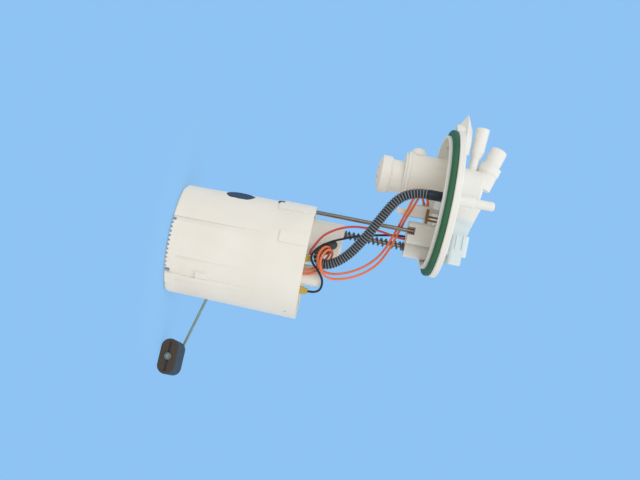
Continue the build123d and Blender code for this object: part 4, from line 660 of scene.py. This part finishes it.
drawn = [(spring, "spring_wire", "spring_steel") for spring in springs]
drawn += [(cords["outlet_hose"], "polyamide_slate", "hose_plastic"),
          (cords["sender_wire_a"], "pvc_orange", "orange_insulation"),
          (cords["sender_wire_b"], "pvc_orange", "orange_insulation"),
          (cords["pump_wire_black"], "pvc_black", "black_insulation"),
          (cords["pump_wire_red"], "pvc_red", "red_insulation"),
          (key_crown, "acetal_flange", "flange_moulding")]
for piece, finish, slot in drawn:
    piece.data.materials.append(materials[finish])
print("finished", len(nodes), "solid parts and", len(drawn), "drawn pieces")

# %% [markdown]
# The module stands on a pale blue table that fades into a backdrop of the same blue, so that no
# horizon crosses the picture. A curved sweep of card would do that in a studio, but only from one
# side. So the table is one flat disc: near the module it is a real surface that takes its shadow,
# and farther out it glows evenly. It sends plain, nearly white light back to the module, and shows
# its blue only to the camera, to mirrors and to glass.

# %% Table
BACKDROP, TABLE_LIGHT = "#8EC3F3", "#DDD9D0"
FOOT_MIDDLE = Vector((0.077, 0, -0.228))
TABLE_DROP = 0.0004  # metres below the foot, so that the two faces don't coincide
TABLE_RADIUS = 6.0  # metres
FADE_TO = 0.14  # metres from the foot's middle, from where the table only glows
FADE_FROM = -0.03  # under zero, so that a faint glow lightens the gaps under the foot too


def seen_or_mirrored(tree):
    """1 where the camera, a mirror or glass looks, and 0 for rays that carry light."""
    ray = add(tree, "ShaderNodeLightPath")
    seen = add(tree, "ShaderNodeMath", [
        (0, ray.outputs["Is Camera Ray"]), (1, ray.outputs["Is Glossy Ray"])],
        operation="ADD", use_clamp=True)
    seen_too = add(tree, "ShaderNodeMath", [
        (0, seen.outputs["Value"]), (1, ray.outputs["Is Transmission Ray"])],
        operation="ADD", use_clamp=True)
    return seen_too.outputs["Value"]


tree, surface = start("studio_floor")
tone = add(tree, "ShaderNodeMix", [
    ("Factor", seen_or_mirrored(tree)), (6, linear(TABLE_LIGHT)), (7, linear(BACKDROP))],
    data_type="RGBA")
tree.links.new(tone.outputs[2], surface.inputs["Base Color"])
surface.inputs["Roughness"].default_value = 0.9
where = add(tree, "ShaderNodeTexCoord").outputs["Object"]
centred = add(tree, "ShaderNodeMapping", [("Vector", where), ("Location", -FOOT_MIDDLE)])
away = add(tree, "ShaderNodeVectorMath", [(0, centred.outputs["Vector"])], operation="LENGTH")
fade = add(tree, "ShaderNodeMapRange", [
    ("Value", away.outputs["Value"]), ("From Min", FADE_FROM), ("From Max", FADE_TO)],
    interpolation_type="SMOOTHSTEP")
glow = add(tree, "ShaderNodeEmission", [("Color", tone.outputs[2]), ("Strength", 1.0)])
both = add(tree, "ShaderNodeMixShader", [
    ("Fac", fade.outputs["Result"]), (1, surface.outputs["BSDF"]), (2, glow.outputs["Emission"])])
tree.links.new(both.outputs["Shader"], tree.nodes["Material Output"].inputs["Surface"])

shape = bmesh.new()
bmesh.ops.create_circle(shape, cap_ends=True, radius=TABLE_RADIUS, segments=64,
                        matrix=Matrix.Translation(FOOT_MIDDLE - Vector((0, 0, TABLE_DROP))))
floor = finish_piece("table", shape, smooth=False)
floor.data.materials.append(materials["studio_floor"])
print("table is %.0f m across, in" % (2 * TABLE_RADIUS), BACKDROP)

# %% [markdown]
# The world does the same as the table: the camera, mirrors and glass see the blue of the backdrop,
# and the module is lit by plain white from all round, as in a light tent.

# %% World
world = bpy.data.worlds.new("studio")
bpy.context.scene.world = world
world.use_nodes = True
tree = world.node_tree
tree.nodes.clear()
light = add(tree, "ShaderNodeBackground", [("Color", (1, 1, 1, 1)), ("Strength", 1.0)])
backdrop = add(tree, "ShaderNodeBackground", [("Color", linear(BACKDROP)), ("Strength", 1.0)])
mixed = add(tree, "ShaderNodeMixShader", [
    ("Fac", seen_or_mirrored(tree)), (1, light.outputs["Background"]),
    (2, backdrop.outputs["Background"])])
add(tree, "ShaderNodeOutputWorld", [("Surface", mixed.outputs["Shader"])])
print("world shows", BACKDROP, "and lights with white")

# %% [markdown]
# Two large soft boxes light the module from the camera's side and above the flange: a stronger one
# towards -X, and a weaker one towards +X that fills its shadows. Area lights are chosen for their
# size, which keeps the shadows soft. They are weak, because the white world gives most of the
# light.

# %% Lights
AIM = Vector((0.05, 0, -0.1))


def soft_box(name, place, size, power):
    """A square area light that looks at the module."""
    data = bpy.data.lights.new(name, "AREA")
    data.size = size
    data.energy = power
    lamp = bpy.data.objects.new(name, data)
    lamp.location = place
    lamp.rotation_euler = (AIM - Vector(place)).to_track_quat("-Z", "Y").to_euler()
    bpy.context.scene.collection.objects.link(lamp)


soft_box("key", (-0.35, -0.9, 0.35), size=0.9, power=2.6)
soft_box("fill", (0.9, -0.6, 0.5), size=0.8, power=1.4)
